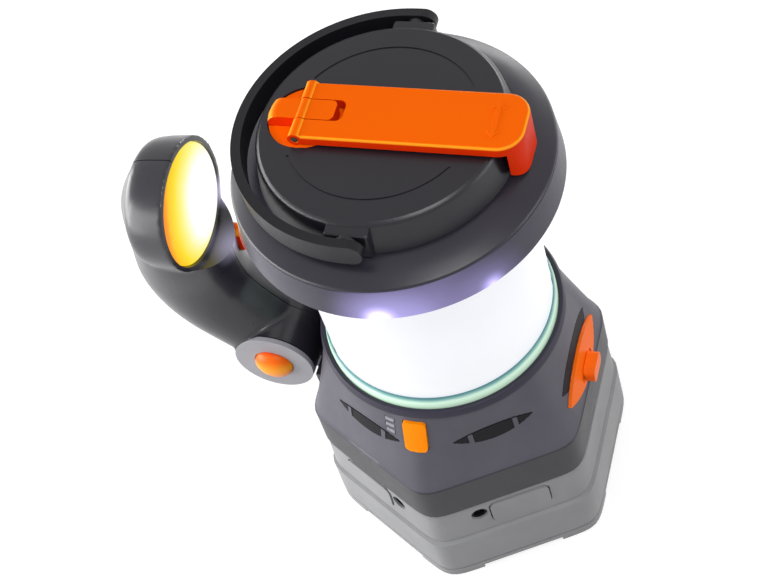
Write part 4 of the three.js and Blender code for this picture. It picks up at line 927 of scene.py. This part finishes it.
# A shallow seam runs around the body where its two shells meet
SEAM_HALF, SEAM_DEPTH = 0.2, 0.6
seam = cut(block(-150, 0, -SEAM_HALF, SEAM_HALF, 60, 260), swollen(body, -SEAM_DEPTH))
tab_room = TAB_HALF + 0.5 + WALL
cavity = cut(
    join(cut(torch_neck(-WALL), plug(29.6, -6, 60)), torch_head(-WALL, 0.5),
         on_pivot(15.6, -22, 17.4)),
    block(-150, -60, -tab_room, tab_room, 60, 104))
tab_slot = TAB_HALF + GAP
bracket_room = join(on_pivot(17.7, -tab_slot, tab_slot),
                    block(-101, -56, -tab_slot, tab_slot, 60, 84))
body = cut(body, seam, cavity, plug(27.3, 0, 60), bracket_room, side_button_form(GAP),
           on_pivot(PIVOT_BORE, -14, 17.3, 32), on_pivot(BARREL_RADIUS, -30, -17.1))
for name, low, high in (("front", -60, 0), ("back", 0, 60)):
    shell = common(link(body.data.copy()), block(-150, 0, low, high, 0, 260))
    dress(shade(shell, 38), f"torch_shell_{name}", torch_dark, "torch")
bpy.data.objects.remove(body)


def domed(radius, foot, rise):
    angles = [k * math.pi / 32 for k in range(16)]
    return [(radius * math.cos(a), foot + rise * math.sin(a)) for a in angles]


# End disc and dome button
DOME_RADIUS, DOME_FOOT, DOME_RISE = 8.4, 19.6, 4.6
disc = cut(on_pivot(17.5, -BARREL_HALF, -17.4), on_pivot(8.7, -30, 0))
dress(shade(soften(disc, 0.6, 4, 40), 40), "torch_end_disc", disc_grey, "torch")
dome = lathe([(0, 15.6), (DOME_RADIUS, 15.6), *domed(DOME_RADIUS, DOME_FOOT, DOME_RISE),
              (0, 24.2)], 96)
dome = move(turn(dome, QUARTER, "X"), PIVOT_X, 0, PIVOT_Z)
dress(shade(dome, 40), "torch_dome_button", dome_orange, "torch_dome_button")

# Reflector, lens and lamp
BOWL_INNER, BOWL_OUTER, BOWL_FRONT, BOWL_DEPTH, BOWL_WALL = 7.4, 24.6, 3.3, 12, 1.2
BOWL_SHARES = [(1, 0), (0.82, 0.4), (0.5, 0.75), (0.24, 0.93), (0, 1)]
LENS_RADIUS, LENS_FOOT, LENS_RISE = 24.9, -1.4, 4.2
bowl = [(BOWL_INNER + (BOWL_OUTER - BOWL_INNER) * r, BOWL_FRONT + BOWL_DEPTH * d)
        for r, d in curve(BOWL_SHARES, 6)]
bowl += [*[(r - BOWL_WALL, d) for r, d in reversed(bowl)], bowl[0]]
bowl = move(turn(lathe(bowl), -QUARTER, "Y"), HEAD_X, 0, HEAD_Z)
dress(shade(bowl, 40), "torch_reflector", bowl_light, "torch")
lens = lathe([(0, -3), (LENS_RADIUS, -3), (LENS_RADIUS, -1.7),
              *domed(LENS_RADIUS, LENS_FOOT, LENS_RISE), (0, 2.8)], 128)
lens = move(turn(lens, QUARTER, "Y"), HEAD_X, 0, HEAD_Z)
dress(shade(lens, 40), "torch_lens", lens_light, "torch")
lamp = join(plug(7, -17.2, -15.6), plug(2.4, -16.5, -13.2, 48))
dress(shade(soften(lamp, 0.5, 4, 40), 40), "torch_lamp", led_light, "torch")

# Soft studio light: place, aim, width and height of each panel, and its power
LAMPS = {
    "key": ((0.42, -0.42, 1.1), (-0.02, 0, 0.12), 0.5, 0.5, 6.4),
    "fill": ((-0.88, -0.68, 0.34), (-0.03, 0, 0.14), 0.6, 0.7, 7),
    "rear": ((0.1, 1.2, 0.34), (-0.02, 0, 0.2), 1.2, 0.16, 6),
    "edge": ((-0.86, -0.05, 0.26), (-0.06, 0, 0.16), 0.8, 0.46, 9),
    "side": ((0.95, 0.1, 0.3), (0, 0, 0.12), 0.4, 0.6, 2.2),
}
for name, (place, aim, width, height, power) in LAMPS.items():
    data = bpy.data.lights.new(name, "AREA")
    data.shape = "RECTANGLE"
    data.size = width
    data.size_y = height
    data.energy = power
    item = link(data, name)
    item.rotation_mode = "QUATERNION"
    item.rotation_quaternion = (Vector(aim) - Vector(place)).to_track_quat("-Z", "Y")
    item.location = place


# 1 where the camera sees a surface directly, in a gloss or through a lens, else 0
def seen(tree):
    path = node(tree, "LightPath").outputs
    direct = calculated(tree, "MAXIMUM", path["Is Camera Ray"], path["Is Glossy Ray"])
    return calculated(tree, "MAXIMUM", direct, path["Is Transmission Ray"])


PAPER_DARK, PAPER_PALE = (0.44, 0.44, 0.44), (0.46, 0.46, 0.46)
WHITE = (1, 1, 1, 1)


# Pale paper for the light that falls on the object
def paper(name):
    material, tree, shader = new_material(name)
    cloud = noise(tree, node(tree, "TexCoord").outputs["Object"], Scale=3, Detail=2)
    feed(tree, shader, {
        "Base Color": mottled(tree, cloud, PAPER_DARK, PAPER_PALE),
        "Roughness": 0.9,
        "Specular IOR Level": 0.1,
    })
    return material, tree, shader


# The floor keeps the shadow near the object and fades to white away from it
SHADOW_END, WHITE_START, NEAR_GLOW = 0.2, 0.7, 0.66
floor_paper, tree, shader = paper("floor paper")
away = vector(tree, "LENGTH", "Value", node(tree, "TexCoord").outputs["Object"])
near_glow = mapped(tree, away, SHADOW_END, WHITE_START, NEAR_GLOW, 1)
feed(tree, shader, {
    "Emission Color": WHITE,
    "Emission Strength": calculated(tree, "MULTIPLY", seen(tree), near_glow)})

wall_paper, tree, shader = paper("wall paper")
choice = node(tree, "MixShader", {
    "Fac": seen(tree), 1: shader.outputs["BSDF"], 2: node(tree, "Emission").outputs["Emission"]})
feed(tree, tree.nodes["Material Output"], {"Surface": choice.outputs["Shader"]})

ROOM, ROOM_TALL, SHEET, FLOOR_TOP = 1500, 2200, 6, -0.2
floor = block(-ROOM, ROOM, -ROOM, ROOM, -SHEET, FLOOR_TOP)
floor.name = "floor"
floor.data.materials.append(floor_paper)
wall = block(-ROOM, ROOM, ROOM, ROOM + SHEET, -SHEET, ROOM_TALL)
wall.name = "backdrop"
wall.data.materials.append(wall_paper)

# The world lights the object at its own level, and is white where it is seen
WORLD_LIGHT = 0.26
world = bpy.data.worlds.new("studio")
bpy.context.scene.world = world
world.use_nodes = True
tree = world.node_tree
feed(tree, tree.nodes["Background"], {
    "Color": WHITE,
    "Strength": calculated(tree, "MULTIPLY_ADD", seen(tree), 1 - WORLD_LIGHT, WORLD_LIGHT)})
